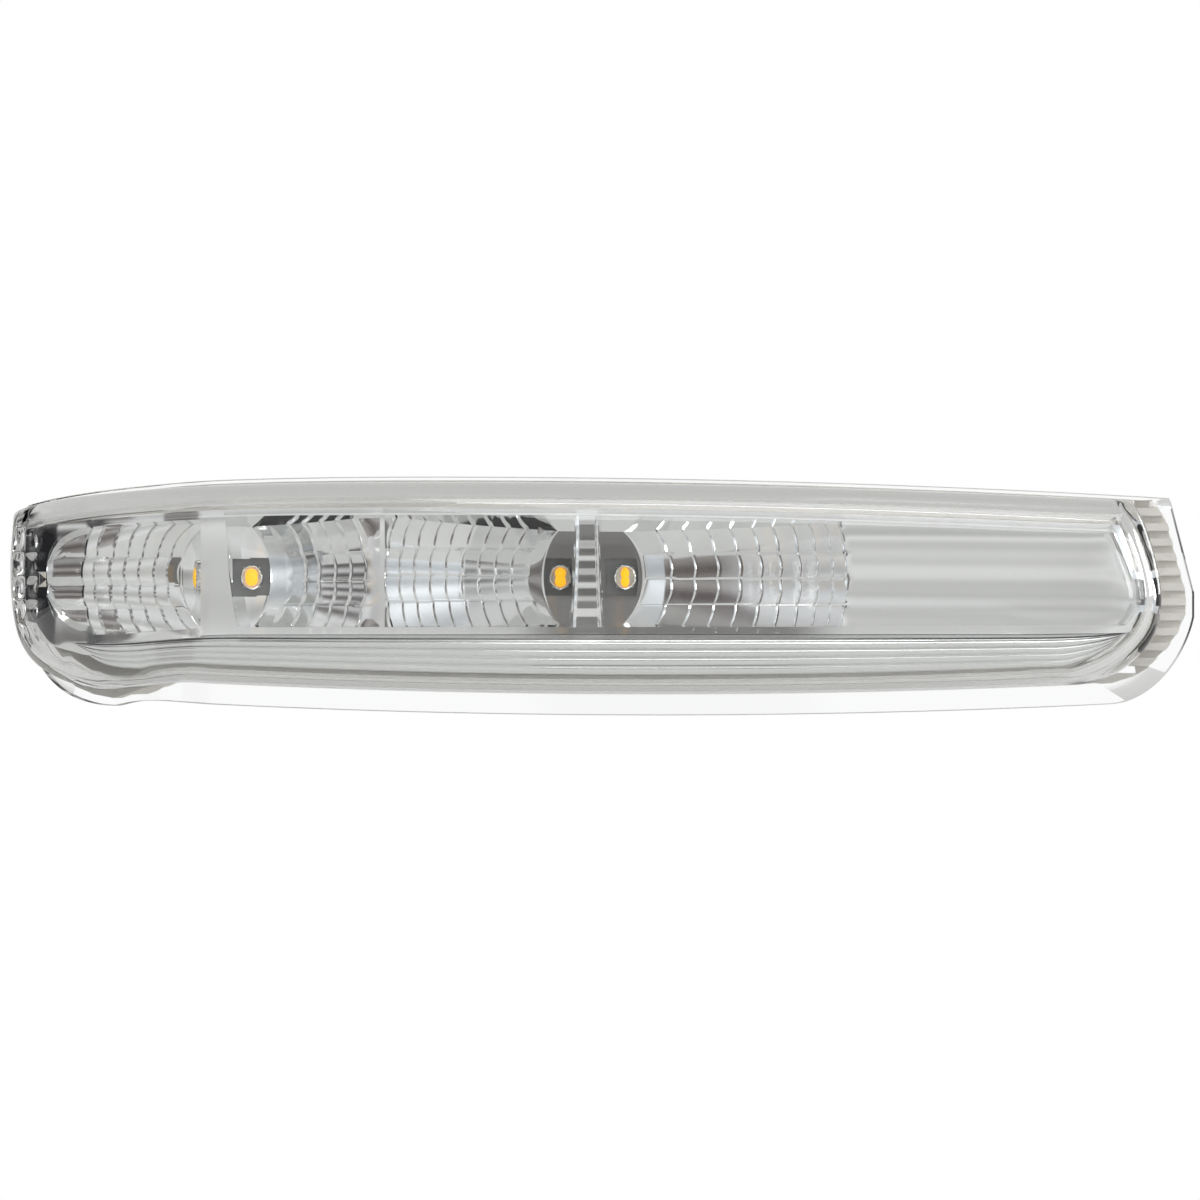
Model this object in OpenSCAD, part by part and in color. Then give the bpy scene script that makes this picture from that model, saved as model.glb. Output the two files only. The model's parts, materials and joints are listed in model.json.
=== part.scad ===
// Side repeater lamp for a door mirror: a clear lens over a stepped, metallised reflector with
// four amber LEDs, on a grey moulded housing with its connector socket and fixings at the back.
// X runs along the lamp, Z is up and the front faces -Y. The origin is the mouth of the middle
// fixing boss. Most places are given as at(a, z, d): a is the distance along the curved front,
// unrolled flat, z is the height, and d is the depth behind the outer face of the lens.

/* [Outline] */
// Length across the front
lamp_l = 200; // [194:1:210]
// Height of the lens flange
lamp_h = 40; // [39.5:0.5:43]
// Plan radius of the long front
front_r = 520; // [460:10:700]
// Plan radius of the end that wraps round the mirror
tip_r = 40; // [38:0.5:44]
// Angle that the wrapped end turns back through
tip_turn = 88; // [84:1:89]
// Length over which the lamp gets shallower towards the nose of the wrapped end
taper_l = 42; // [38:1:46]
// Foremost point of the front
apex_x = 15; // [8:1:22]

/* [Lens] */
// Wall of the clear lens
lens_wall = 1.8; // [1.5:0.1:2.1]
// Depth of the lens from its front to the back of its flange
bowl_d = 14; // [13.5:0.5:15]
// Thickness of the lens flange
flange_t = 1.6; // [1.2:0.1:2]
// Width of the flange along the top
flange_top = 0.9; // [0.7:0.1:1.2]
// Width of the flange along the bottom
flange_bottom = 3.5; // [3:0.1:3.9]
// Width of the flange at the inner end
flange_end = 6.5; // [5.5:0.5:7.5]
// Height of the flutes inside the wrapped end
flute_h = 0.7; // [0.3:0.1:0.9]
// Height from one flute to the next
flute_pitch = 4; // [3:0.5:5]

/* [Housing] */
// Wall of the housing
housing_wall = 2; // [1.6:0.1:2.4]
// Depth of the housing from its rim to the outside of its floor
housing_d = 15; // [14.5:0.5:17]
// Gap that the weld fills between the lens and the housing
weld_gap = 0.1; // [0.05:0.05:0.2]
// Height of the fixing bosses behind the floor
boss_h = 8; // [7:0.5:10]
// Diameter of the fixing bosses
boss_dia = 8; // [7:0.5:9]
// Diameter of the holes for the fixing screws
screw_hole = 3.2; // [2.6:0.1:3.6]
// Depth of the holes for the fixing screws
screw_depth = 8; // [6:0.5:9]
// Distance from the middle boss to the inner boss
boss_pitch = 66; // [60:1:70]
// Diameter of the locating peg
peg_dia = 5; // [4:0.5:6]
// Distance from the middle boss to the locating peg
peg_pitch = 48; // [46.5:0.5:52]
// Width of the connector socket inside
socket_w = 11.4; // [10:0.2:12]
// Height of the connector socket inside
socket_h = 7.4; // [6.4:0.2:8]
// Depth of the connector socket
socket_d = 11; // [10:0.5:12]
// Height of the ribs under the flange at the inner end
rib_h = 0.7; // [0.4:0.1:1]

/* [Reflector] */
// Wall of the reflector
reflector_wall = 1.2; // [1:0.1:1.4]
// Depth of the reflector's lip behind the front
lip_d = 5.5; // [5:0.1:6]
// Height of the reflector's opening
window_h = 18.4; // [17.6:0.2:18.6]
// Radial pitch of the steps round the first three LEDs
step_pitch = 2.5; // [2.2:0.1:3.2]
// Radial pitch of the steps round the fourth LED
wide_pitch = 3.7; // [3.3:0.1:4.2]
// Height of each step
step_h = 1; // [0.5:0.1:1.1]
// Height of the window round each LED
led_window = 6.4; // [5.4:0.1:6.8]

/* [Circuit] */
// Thickness of the circuit boards
board_t = 1; // [0.8:0.1:1.6]
// Height of the main board
board_h = 14; // [12:0.5:14.5]
// Height of an LED package
led_l = 3.5; // [3:0.1:3.8]
// Width of an LED package
led_w = 2.8; // [2.6:0.1:3]
// Thickness of an LED package
led_t = 1.9; // [1.7:0.1:2.1]
// Diameter of an LED's amber face
emitter_dia = 2.5; // [2:0.1:2.6]
// Clearance round what passes through a wall
clearance = 0.2; // [0.1:0.05:0.25]

/* [Hidden] */
RAD = 180 / PI;
FAR = 70;

// The front in plan is two arcs that meet smoothly: the long front and the wrapped end
x_right = lamp_l / 2;
x_left = -lamp_l / 2;
rim_d = bowl_d + weld_gap;
floor_d = rim_d + housing_d;
front_y = -(floor_d + boss_h);
blend_a = asin((apex_x - x_left - tip_r) / (front_r - tip_r));
blend_s = front_r * blend_a / RAD;
front_c = [apex_x, front_y + front_r];
tip_c = front_c - (front_r - tip_r) * [sin(blend_a), cos(blend_a)];
a_right = apex_x + front_r * asin((x_right - apex_x) / (front_r - bowl_d)) / RAD;
a_left = apex_x - blend_s - tip_r * (tip_turn - blend_a) / RAD;

// Angle of the front at the unrolled place a, positive towards the wrapped end
function turn(a) =
    let (s = apex_x - a)
    s < blend_s ? s / front_r * RAD : blend_a + (s - blend_s) / tip_r * RAD;
// Point at the unrolled place a, height z and depth d behind the front
function at(a, z, d) =
    let (t = turn(a), on_tip = t > blend_a)
    let (c = on_tip ? tip_c : front_c, r = (on_tip ? tip_r : front_r) - d)
    [c.x - r * sin(t), c.y - r * cos(t), z];
// Y of the surface that lies d behind the front, at x
function y_at(x, d) =
    let (on_tip = x < tip_c.x - (tip_r - d) * sin(blend_a))
    let (c = on_tip ? tip_c : front_c, r = (on_tip ? tip_r : front_r) - d)
    c.y - sqrt(r * r - pow(c.x - x, 2));
function mix(p, q, f) = p + (q - p) * f;
function clip(v) = min(1, max(0, v));

// The flange's outline, unrolled: two shallow crowns, closed by a curve at each end, with a
// small point where the bottom edge starts up round the wrapped end
crown_a = -30;
top_drop_right = 3.8;
top_drop_left = 4.6;
low_a = 10;
bottom_rise = 2.1;
bottom_span = 84;
point_a = a_left + 30;
point_drop = 1.6;
point_w = 5;
point_narrow = 2.4;
narrow_l = 22;
close_top_right = 4.6;
close_bottom_right = 15;
close_top_left = 4;
function spine_z(a) = 2.4 - 0.03 * a;
function top_z(a) = lamp_h / 2 - (a > crown_a
    ? top_drop_right * pow((a - crown_a) / (a_right - crown_a), 2)
    : top_drop_left * pow((crown_a - a) / (crown_a - a_left - close_top_left), 2.4));
function bottom_z(a) =
    let (b = max(a, point_a))
    -lamp_h / 2 + 0.2 + bottom_rise * pow((b - low_a) / bottom_span, 2)
    - point_drop * exp(-pow((b - point_a) / point_w, 2));
function closing(u, p, q) = pow(1 - pow(clip(u), p), q);

// Inset along the bottom: g, and less towards the point, where the flange gets narrow
function low_inset(a, g) = g - min(g, point_narrow) * pow(clip(1 - (a - point_a) / narrow_l), 2);

// Point at the share t of the way along the outline that is inset from the flange's edge by
// g = [inner end, wrapped end, top, bottom], in unrolled a and z
function rim(t, up, g) =
    let (ar = a_right - g[0], al = a_left + g[1], a = mix(ar, al, t), zs = spine_z(a))
    let (edge = up ? top_z(a) - g[2] : bottom_z(a) + low_inset(a, g[3]))
    let (right = up ? closing(1 - (ar - a) / close_top_right, 1, 1)
                    : closing(1 - (ar - a) / close_bottom_right, 2, 0.58))
    let (left = up ? closing(1 - (a - al) / close_top_left, 1, 1)
                   : closing(1 - (a - al) / (point_a - a_left), 2.1, 0.5))
    [a, zs + (edge - zs) * right * left];
// Line inside the outline that the rounded front rises to
spine_right_in = flange_end + 14;
spine_left_in = 12;
function spine(t) = let (a = mix(a_right - spine_right_in, a_left + spine_left_in, t)) [a, spine_z(a)];

// Places round an outline, as [share, whether on the top], closer together at the ends: along
// the top from the inner end, and back along the bottom
STATIONS = 40;
PLACES = [for (i = [0 : STATIONS - 1])
    let (u = i / (STATIONS - 1))
    mix(0.0015, 0.998, mix(u, (1 - cos(180 * u)) / 2, 0.8))];
WALK = concat([for (t = PLACES) [t, true]], [for (i = [1 : STATIONS]) [PLACES[STATIONS - i], false]]);
RING = len(WALK);

// How square the bowls' rounding is at a place of the outline
function squareness(w, p_top, p_bottom, p_end) =
    mix(w[1] ? p_top : p_bottom, p_end, clip(1 - min(w[0], 1 - w[0]) / 0.1));
function lens_squareness(w) = squareness(w, 4.5, 2.4, 5);
function tray_squareness(w) = squareness(w, 6, 5, 5);

// Depths of the lamp's layers at the unrolled place a; all get shallower towards the nose
plate_t = 1.8;
tail_h = plate_t + housing_wall + 1.2;
function taper(a) = pow(clip(1 - (a - a_left) / taper_l), 1.25);
lens_front = function(a) 0;
lens_inside = function(a) lens_wall;
lens_back = function(a) mix(bowl_d, lens_wall + flange_t, taper(a));
flange_front = function(a) lens_back(a) - flange_t;
housing_front = function(a) lens_back(a) + weld_gap;
plate_back = function(a) housing_front(a) + plate_t;
floor_back = function(a) housing_front(a) + mix(housing_d, tail_h, taper(a));
floor_front = function(a) floor_back(a) - housing_wall;

// Ring of points on the outline inset by g, on the layer whose depths are given
function flat_ring(g, depth) = [for (w = WALK) let (p = rim(w[0], w[1], g)) at(p.x, p.y, depth(p.x))];
// Ring of points on a rounded bowl between two layers, from its rim, f = 0, to its spine, f = 90
function bowl_ring(g, low, high, f, p) = [for (i = [0 : RING - 1])
    let (w = WALK[i], across = max(0.05, pow(cos(f), 2 / p[i])), along = pow(sin(f), 2 / p[i]))
    let (q = mix(spine(w[0]), rim(w[0], w[1], g), across))
    at(q.x, q.y, mix(low(q.x), high(q.x), along))];

// Closed solid through rings of points; the two end rings are closed across, top to bottom
module through(rings) {
    last = len(rings) - 1;
    sides = [for (j = [0 : last - 1], k = [0 : RING - 1])
        let (n = (k + 1) % RING, lo = j * RING, hi = lo + RING)
        each [[lo + k, hi + n, lo + n], [lo + k, hi + k, hi + n]]];
    function cap(base, flip) = [for (k = [0 : STATIONS - 2])
        let (a = base + k, b = a + 1, c = base + RING - 2 - k, d = c + 1)
        each (flip ? [[a, c, b], [a, d, c]] : [[a, b, c], [a, c, d]])];
    polyhedron(
        points = [for (r = rings) each r],
        faces = concat(cap(0, false), sides, cap(last * RING, true))
    );
}

// Solid along Y inside the lens and the housing: its front view is their inside at depth d, less gap
module inside_lens(d, gap) {
    g = [for (i = [0 : 3]) max(lens_in[i], housing_in[i]) + gap];
    translate([0, FAR, 0])
        rotate([90, 0, 0])
            linear_extrude(2 * FAR)
                polygon([for (w = WALK)
                    let (e = rim(w[0], w[1], g), back = lens_back(e.x), p = lens_squareness(w))
                    let (across = pow(1 - pow(clip((back - d) / (back - lens_wall)), p), 1 / p))
                    let (q = mix(spine(w[0]), e, across), v = at(q.x, q.y, d))
                    [v.x, v.z]]);
}
// Round bar along Y
module bar(x, z, y0, y1, dia) {
    translate([x, y1, z])
        rotate([90, 0, 0])
            cylinder(h = y1 - y0, d = dia, $fn = 48);
}
// Box between two corners
module block(p, q) {
    translate(p)
        cube(q - p);
}
// Band that follows the front in plan, between two depths and two heights, up to the turn t1
BAND = 72;
module band(d0, d1, z0, z1, t1) {
    last = apex_x - blend_s - tip_r * (t1 - blend_a) / RAD;
    line = [for (i = [0 : BAND]) mix(a_right + 20, last, i / BAND)];
    translate([0, 0, z0])
        linear_extrude(z1 - z0)
            polygon(concat(
                [for (a = line) let (p = at(a, 0, d0)) [p.x, p.y]],
                [for (i = [0 : BAND]) let (p = at(line[BAND - i], 0, d1)) [p.x, p.y]]
            ));
}

// Insets of the outlines from the flange's edge
lens_rim = [flange_end, 1.4, flange_top, flange_bottom];
lens_in = [for (g = lens_rim) g + lens_wall];
plate_edge = [1.2, 1.2, 0.6, flange_bottom + 0.1];
housing_rim = [flange_end + 0.6, 3, flange_top + 1.1, flange_bottom + 0.6];
housing_in = [for (g = housing_rim) g + housing_wall];

// Places inside the lamp, from the LEDs outwards
led_z = 3.2;
board_y = front_y + 22;
window_top = led_z + 10.4;
window_bottom = window_top - window_h;
floor_gap = reflector_wall + 0.3;
pin_t = 0.5;
led_out = 0.5;
side_in = 35.5;
side_x = x_left + side_in;
column_left = side_x - clearance - reflector_wall;
led_1_x = side_x - led_t;
led_1_y = board_y - 5;
column_right = side_x + board_t + pin_t + 0.1 + reflector_wall;
led_2_x = column_right + 4;
socket_x = -30;
led_3_x = -6.1;
led_4_x = 4.7;
ridge_x = -35.6;
ridge_w = 0.6;
divider_left = led_3_x + 2.4;
divider_right = led_4_x - 4.2;
step_end_x = 41.5;
cell_left_x = x_left + 3;
cell_right_x = x_right - flange_end;
bezel_turn = 70;
step_draft = 0.4;
ridge_d = lip_d + 1.6;
shallow_d = lip_d + 6;
roof_slant = tan(9);

// Each cell: its LED's x, its left and right, x and depth where its steps end, and the radius
// and pitch of its steps
CELLS = [
    [led_1_x, cell_left_x, column_left, cell_left_x + 5, lip_d, 5.7, step_pitch],
    [led_2_x, column_right, ridge_x - ridge_w / 2, ridge_x, ridge_d, 6.4, step_pitch],
    [led_3_x, ridge_x + ridge_w / 2, divider_left, ridge_x, ridge_d, 5.4, step_pitch],
    [led_4_x, divider_right, cell_right_x, step_end_x, shallow_d, 3.6, wide_pitch]
];
// Windows in the cells' floors, as [LED x, reach to the left, reach to the right]
WINDOWS = [[led_2_x, 3.2, 3.2], [led_3_x, 2.8, 1.9], [led_4_x, 3.2, 2.2]];

// Profile of a cell round its LED's axis, radius against height towards the front: a pit for
// the LED, then a land and a riser for each step, then a smooth run to the cell's end
function cell_profile(c, grow) =
    let (h0 = -board_y + floor_gap, h1 = -y_at(c[3], c[4]), r0 = c[5], pitch = c[6])
    let (r1 = abs(c[3] - c[0]), n = floor((r1 - r0) / pitch + 0.1))
    let (r_end = max(c[2] - c[0], c[0] - c[1], r1) + 10)
    let (base = function(r) mix(h0, h1, pow(clip((r - r0) / (r1 - r0)), 1.3)) - grow)
    concat(
        [[0, FAR], [0, h0 - grow]],
        [for (k = [0 : 1 : n - 1])
            let (ra = r0 + k * pitch, rb = ra + pitch)
            each [[ra, base(ra)], [rb - step_draft, base(rb) + step_h]]],
        [[r0 + n * pitch, base(r0 + n * pitch)], [r_end, base(r1)], [r_end, FAR]]
    );
// Space of one cell, or with grow the outside of its wall
module cell_space(c, grow) {
    lip_y = front_y + lip_d;
    intersection() {
        translate([c[0], 0, led_z])
            rotate([90, 0, 0])
                rotate_extrude($fn = 96)
                    polygon(cell_profile(c, grow));
        translate([c[1] - grow, 0, 0])
            rotate([90, 0, 90])
                linear_extrude(c[2] - c[1] + 2 * grow)
                    polygon([
                        [lip_y - 30, window_bottom - grow],
                        [lip_y + 40, window_bottom - grow],
                        [lip_y + 40, window_top - 40 * roof_slant + grow],
                        [lip_y - 30, window_top + 30 * roof_slant + grow]
                    ]);
    }
}

// Legs of the reflector, which stand in sleeves on the housing's floor
LEGS = [mix(led_2_x, socket_x, 0.64), 24, 72];
leg_z = -9.4;
leg_dia = 4.4;
leg_pin_dia = 2.4;
leg_pin_l = 3;
sleeve_dia = 6;
sleeve_y = board_y + 1.6;
// Screw posts of the main board
POSTS = [[mix(led_2_x, socket_x, 0.48), 6], [-16, 6]];
post_dia = 5;
post_hole = 1.9;
board_back = board_y + board_t;
// Connector socket, terminals and vent at the back
socket_wall = 1.8;
socket_floor = y_at(socket_x, floor_d) + 1;
socket_mouth = socket_floor + socket_d;
terminal_w = 1.5;
terminal_t = 0.8;
terminal_pitch = 5;
terminal_end = socket_mouth - 5.2;
peg_l = 7.5;
peg_seat = y_at(-peg_pitch, floor_d) + 1.5;
vent_x = 36;
vent_dia = 9;
vent_hole = 2.5;
vent_y = y_at(vent_x, floor_d) + 0.6;

// Clear lens: a bowl with a flange, and flutes inside its wrapped end that spread the light
BOWL = [6, 16, 27, 39, 52, 66, 90];
flute_from = 58;
flute_to = 76;
flute_z = 1.6;
FLUTES = [-2 : 1 : 2];
module lens() {
    p = [for (w = WALK) lens_squareness(w)];
    edge = [0, 0, 0, 0];
    flute_r = (pow(flute_pitch / 2, 2) + pow(flute_h, 2)) / (2 * flute_h);
    color([0.9, 0.93, 0.95, 0.45]) {
        through(concat(
            [for (i = [1 : len(BOWL)]) bowl_ring(lens_in, lens_back, lens_inside, BOWL[len(BOWL) - i], p)],
            [flat_ring(lens_in, lens_back), flat_ring(edge, lens_back)],
            [flat_ring(edge, flange_front), flat_ring(lens_rim, flange_front)],
            [for (f = BOWL) bowl_ring(lens_rim, flange_front, lens_front, f, p)]
        ));
        for (i = FLUTES)
            translate([tip_c.x, tip_c.y, flute_z + i * flute_pitch])
                rotate([0, 0, 270 - flute_to])
                    rotate_extrude(angle = flute_to - flute_from, $fn = 180)
                        intersection() {
                            translate([tip_r - lens_wall - flute_h + flute_r, 0])
                                circle(r = flute_r, $fn = 64);
                            translate([tip_r - lens_wall - flute_h, -flute_pitch / 2])
                                square([flute_h + lens_wall / 3, flute_pitch]);
                        }
    }
}

// Housing: a tray with a rim plate, fixing bosses, a peg, the socket and the inner posts
TRAY = [8, 24, 45, 68, 90];
module housing() {
    p = [for (w = WALK) tray_squareness(w)];
    floor_in = floor_d - housing_wall;
    boss_y = -(screw_depth + 1.5);
    color([0.72, 0.72, 0.71])
        difference() {
            union() {
                through(concat(
                    [for (i = [1 : len(TRAY)])
                        bowl_ring(housing_rim, plate_back, floor_back, TRAY[len(TRAY) - i], p)],
                    [flat_ring(housing_rim, plate_back), flat_ring(plate_edge, plate_back)],
                    [flat_ring(plate_edge, housing_front), flat_ring(housing_in, housing_front)],
                    [for (f = TRAY) bowl_ring(housing_in, housing_front, floor_front, f, p)]
                ));
                bar(0, 0, boss_y, 0, boss_dia);
                bar(boss_pitch, 0, boss_y, 0, boss_dia);
                bar(-peg_pitch, led_z, y_at(-peg_pitch, floor_in + 0.5), peg_seat, peg_dia + 3);
                bar(-peg_pitch, led_z, peg_seat - 1, peg_seat + peg_l, peg_dia);
                for (x = LEGS)
                    bar(x, leg_z, sleeve_y + clearance, y_at(x, floor_in + 0.5), sleeve_dia);
                for (q = POSTS)
                    bar(q.x, q.y, board_back, y_at(q.x, floor_in + 0.5), post_dia);
                bar(vent_x, 0, y_at(vent_x, floor_in + 0.5), vent_y, vent_dia + 3);
                block(
                    [socket_x - socket_w / 2 - socket_wall, y_at(socket_x, floor_in + 0.5),
                     led_z - socket_h / 2 - socket_wall],
                    [socket_x + socket_w / 2 + socket_wall, socket_mouth,
                     led_z + socket_h / 2 + socket_wall]
                );
                block(
                    [socket_x - 2.5, socket_mouth - 5, led_z + socket_h / 2],
                    [socket_x + 2.5, socket_mouth - 2.5, led_z + socket_h / 2 + socket_wall + 1.4]
                );
            }
            for (x = [0, boss_pitch])
                bar(x, 0, -screw_depth, 1, screw_hole);
            for (x = LEGS)
                bar(x, leg_z, sleeve_y - 1, sleeve_y + leg_pin_l + 2 * clearance, leg_pin_dia + 2 * clearance);
            for (q = POSTS)
                bar(q.x, q.y, board_y, board_back + 5.5, post_hole);
            bar(vent_x, 0, y_at(vent_x, floor_in) - 2, vent_y + 1, vent_hole);
            block(
                [socket_x - socket_w / 2, socket_floor, led_z - socket_h / 2],
                [socket_x + socket_w / 2, socket_mouth + 1, led_z + socket_h / 2]
            );
            for (i = [-0.5, 0.5])
                terminal_slot(i, 0.05);
            end_grooves();
        }
}
// Passage for a terminal, larger than it by gap on each side
module terminal_slot(i, gap) {
    x = socket_x + i * terminal_pitch;
    block(
        [x - terminal_w / 2 - gap, board_y - 2, led_z - terminal_t / 2 - gap],
        [x + terminal_w / 2 + gap, terminal_end, led_z + terminal_t / 2 + gap]
    );
}
// Grooves that leave ribs on the rim plate beyond the lens at the inner end
rib_pitch = 2.5;
module end_grooves() {
    first = -14;
    count = 12;
    difference() {
        translate([cell_right_x - 8, 0, 0])
            rotate([90, 0, 90])
                linear_extrude(30)
                    polygon(concat(
                        [[y_at(x_right - 3, rim_d) - 6, first], [y_at(x_right - 3, rim_d) - 6, first + count * rib_pitch]],
                        [for (i = [0 : 2 * count - 1])
                            let (z = first + (count - i / 2) * rib_pitch, deep = i % 2 == 0)
                            each [[y_at(x_right - 3, rim_d) + (deep ? rib_h : -5), z],
                                  [y_at(x_right - 3, rim_d) + (deep ? rib_h : -5), z - rib_pitch / 2]]]
                    ));
        inside_lens(rim_d, -lens_wall - 0.8);
    }
}

// Metallised reflector: a lip and stepped apron that follow the front, four stepped cells
// and three legs
APRON = [0, 1, 2];
apron_h = 2.5;
apron_step = 2;
apron_lap = 0.4;
apron_turn = 60;
module apron(i) {
    d = lip_d + (i + 1) * apron_step;
    z = window_bottom - reflector_wall - (i + 1) * apron_h;
    intersection() {
        band(d, min(d + reflector_wall + apron_step, rim_d - 0.5), z, z + apron_h + apron_lap, apron_turn - 18 * i);
        inside_lens(d, 0.6);
    }
}
module reflector() {
    lip_back = lip_d + reflector_wall;
    color([0.86, 0.88, 0.9])
        difference() {
            union() {
                intersection() {
                    union() {
                        band(lip_d, lip_back, window_bottom - 1.2, window_top + 2.4, bezel_turn);
                        intersection() {
                            union()
                                for (c = CELLS)
                                    cell_space(c, reflector_wall);
                            band(lip_d, tip_r - 6, window_bottom - 2, window_top + 2, bezel_turn);
                        }
                    }
                    inside_lens(lip_d, 1);
                }
                for (i = APRON)
                    apron(i);
                for (x = LEGS) {
                    bar(x, leg_z, y_at(x, lip_d + 5), sleeve_y, leg_dia);
                    bar(x, leg_z, sleeve_y - 1, sleeve_y + leg_pin_l, leg_pin_dia);
                }
            }
            intersection() {
                union()
                    for (c = CELLS)
                        cell_space(c, 0);
                inside_lens(lip_d, 1 + reflector_wall);
            }
            for (w = WINDOWS)
                block(
                    [w[0] - w[1], board_y - 6, led_z - led_window / 2],
                    [w[0] + w[2], board_y + 6, led_z + led_window / 2]
                );
            block(
                [column_left - 1, led_1_y - led_w / 2 - 2 * clearance, led_z - led_l / 2 - 2 * clearance],
                [column_left + reflector_wall + 0.5, led_1_y + led_w / 2 + 2 * clearance, led_z + led_l / 2 + 2 * clearance]
            );
        }
}

// Circuit boards
main_left = side_x + board_t + pin_t + 0.6;
main_right = led_4_x + 7.5;
module main_board() {
    color([0.2, 0.23, 0.22])
        difference() {
            block([main_left, board_y, led_z - board_h / 2], [main_right, board_back, led_z + board_h / 2]);
            for (q = POSTS)
                bar(q.x, q.y, board_y - 1, board_back + 1, post_hole + 2 * clearance);
            for (i = [-0.5, 0.5])
                terminal_slot(i, 0.05);
        }
}
module side_board() {
    color([0.2, 0.23, 0.22])
        block(
            [side_x, y_at(side_x, lip_d + reflector_wall) + 0.6, led_z - 4],
            [side_x + board_t, board_back + 1, led_z + 4]
        );
}

// LED packages and their amber faces; the first looks along the lamp and the rest look out
emitter_t = 0.5;
emitter_1_t = 0.8;
module led_out(x) {
    color([0.78, 0.78, 0.74])
        block([x - led_w / 2, board_y - led_t, led_z - led_l / 2], [x + led_w / 2, board_y, led_z + led_l / 2]);
}
module emitter_out(x) {
    color([1, 0.72, 0.05])
        translate([x, board_y - led_t, led_z])
            rotate([90, 0, 0])
                cylinder(h = emitter_t, d1 = emitter_dia, d2 = emitter_dia - 0.5, $fn = 48);
}
module led_1() {
    color([0.78, 0.78, 0.74])
        block([led_1_x, led_1_y - led_w / 2, led_z - led_l / 2], [side_x, led_1_y + led_w / 2, led_z + led_l / 2]);
}
module led_2() {
    led_out(led_2_x);
}
module led_3() {
    led_out(led_3_x);
}
module led_4() {
    led_out(led_4_x);
}
module emitter_1() {
    color([1, 0.72, 0.05])
        translate([led_1_x, led_1_y, led_z])
            rotate([0, -90, 0])
                cylinder(h = emitter_1_t, d1 = emitter_dia, d2 = emitter_dia - 0.8, $fn = 48);
}
module emitter_2() {
    emitter_out(led_2_x);
}
module emitter_3() {
    emitter_out(led_3_x);
}
module emitter_4() {
    emitter_out(led_4_x);
}

// Parts on the back of the main board: chips with bright ends
module chip(x, z, size) {
    block([x - size[0] / 2, board_back, z - size[1] / 2], [x + size[0] / 2, board_back + size[2], z + size[1] / 2]);
}
RESISTOR = [3.2, 1.6, 0.6];
resistor_x = -8;
resistor_pitch = 3;
module resistor(i) {
    color([0.1, 0.1, 0.11])
        chip(resistor_x, led_z - 4.5 + i * resistor_pitch, RESISTOR);
}
module resistor_1() {
    resistor(0);
}
module resistor_2() {
    resistor(1);
}
module resistor_3() {
    resistor(2);
}
module resistor_4() {
    resistor(3);
}
module diode() {
    color([0.12, 0.12, 0.12])
        chip(-20, led_z - 3, [4.3, 2.6, 2.2]);
}
module capacitor() {
    color([0.72, 0.6, 0.42])
        chip(mix(led_2_x, socket_x, 0.71), led_z - 3, [2, 1.25, 0.9]);
}
// Right-angle pins that join the side board to the main board
module board_pins() {
    x = side_x + board_t;
    color([0.8, 0.78, 0.7])
        for (z = [led_z - 2, led_z + 2]) {
            block([x, board_y - 3, z - 0.3], [x + pin_t, board_back + pin_t, z + 0.3]);
            block([x, board_back, z - 0.3], [main_left + 2.5, board_back + pin_t, z + 0.3]);
        }
}
module terminal(i) {
    x = socket_x + i * terminal_pitch;
    color([0.8, 0.74, 0.5])
        block(
            [x - terminal_w / 2, board_y - 0.6, led_z - terminal_t / 2],
            [x + terminal_w / 2, terminal_end, led_z + terminal_t / 2]
        );
}
module terminal_1() {
    terminal(-0.5);
}
module terminal_2() {
    terminal(0.5);
}
screw_head_dia = 4;
screw_head_t = 1.1;
module board_screws() {
    color([0.75, 0.75, 0.76])
        for (q = POSTS)
            difference() {
                union() {
                    bar(q.x, q.y, board_y - screw_head_t, board_y, screw_head_dia);
                    bar(q.x, q.y, board_y - 0.5, board_back + 5, post_hole - 0.1);
                }
                bar(q.x, q.y, board_y - screw_head_t - 1, board_y - screw_head_t + 0.6, 1.6);
            }
}
// Membrane over the vent
module vent_patch() {
    color([0.93, 0.93, 0.92])
        bar(vent_x, 0, vent_y, vent_y + 0.4, vent_dia);
}

lens();
housing();
reflector();
main_board();
side_board();
led_1();
led_2();
led_3();
led_4();
emitter_1();
emitter_2();
emitter_3();
emitter_4();
resistor_1();
resistor_2();
resistor_3();
resistor_4();
diode();
capacitor();
board_pins();
terminal_1();
terminal_2();
board_screws();
vent_patch();
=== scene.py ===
"""Side repeater lamp: the finish of every surface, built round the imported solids.

Places are worked out in millimetres, in the frame of the solids, and become metres in the meshes.
Most are given as at(a, z, d): a is the distance along the curved front, unrolled flat, z is the
height and d is the depth behind the outer face of the lens.
"""

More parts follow.
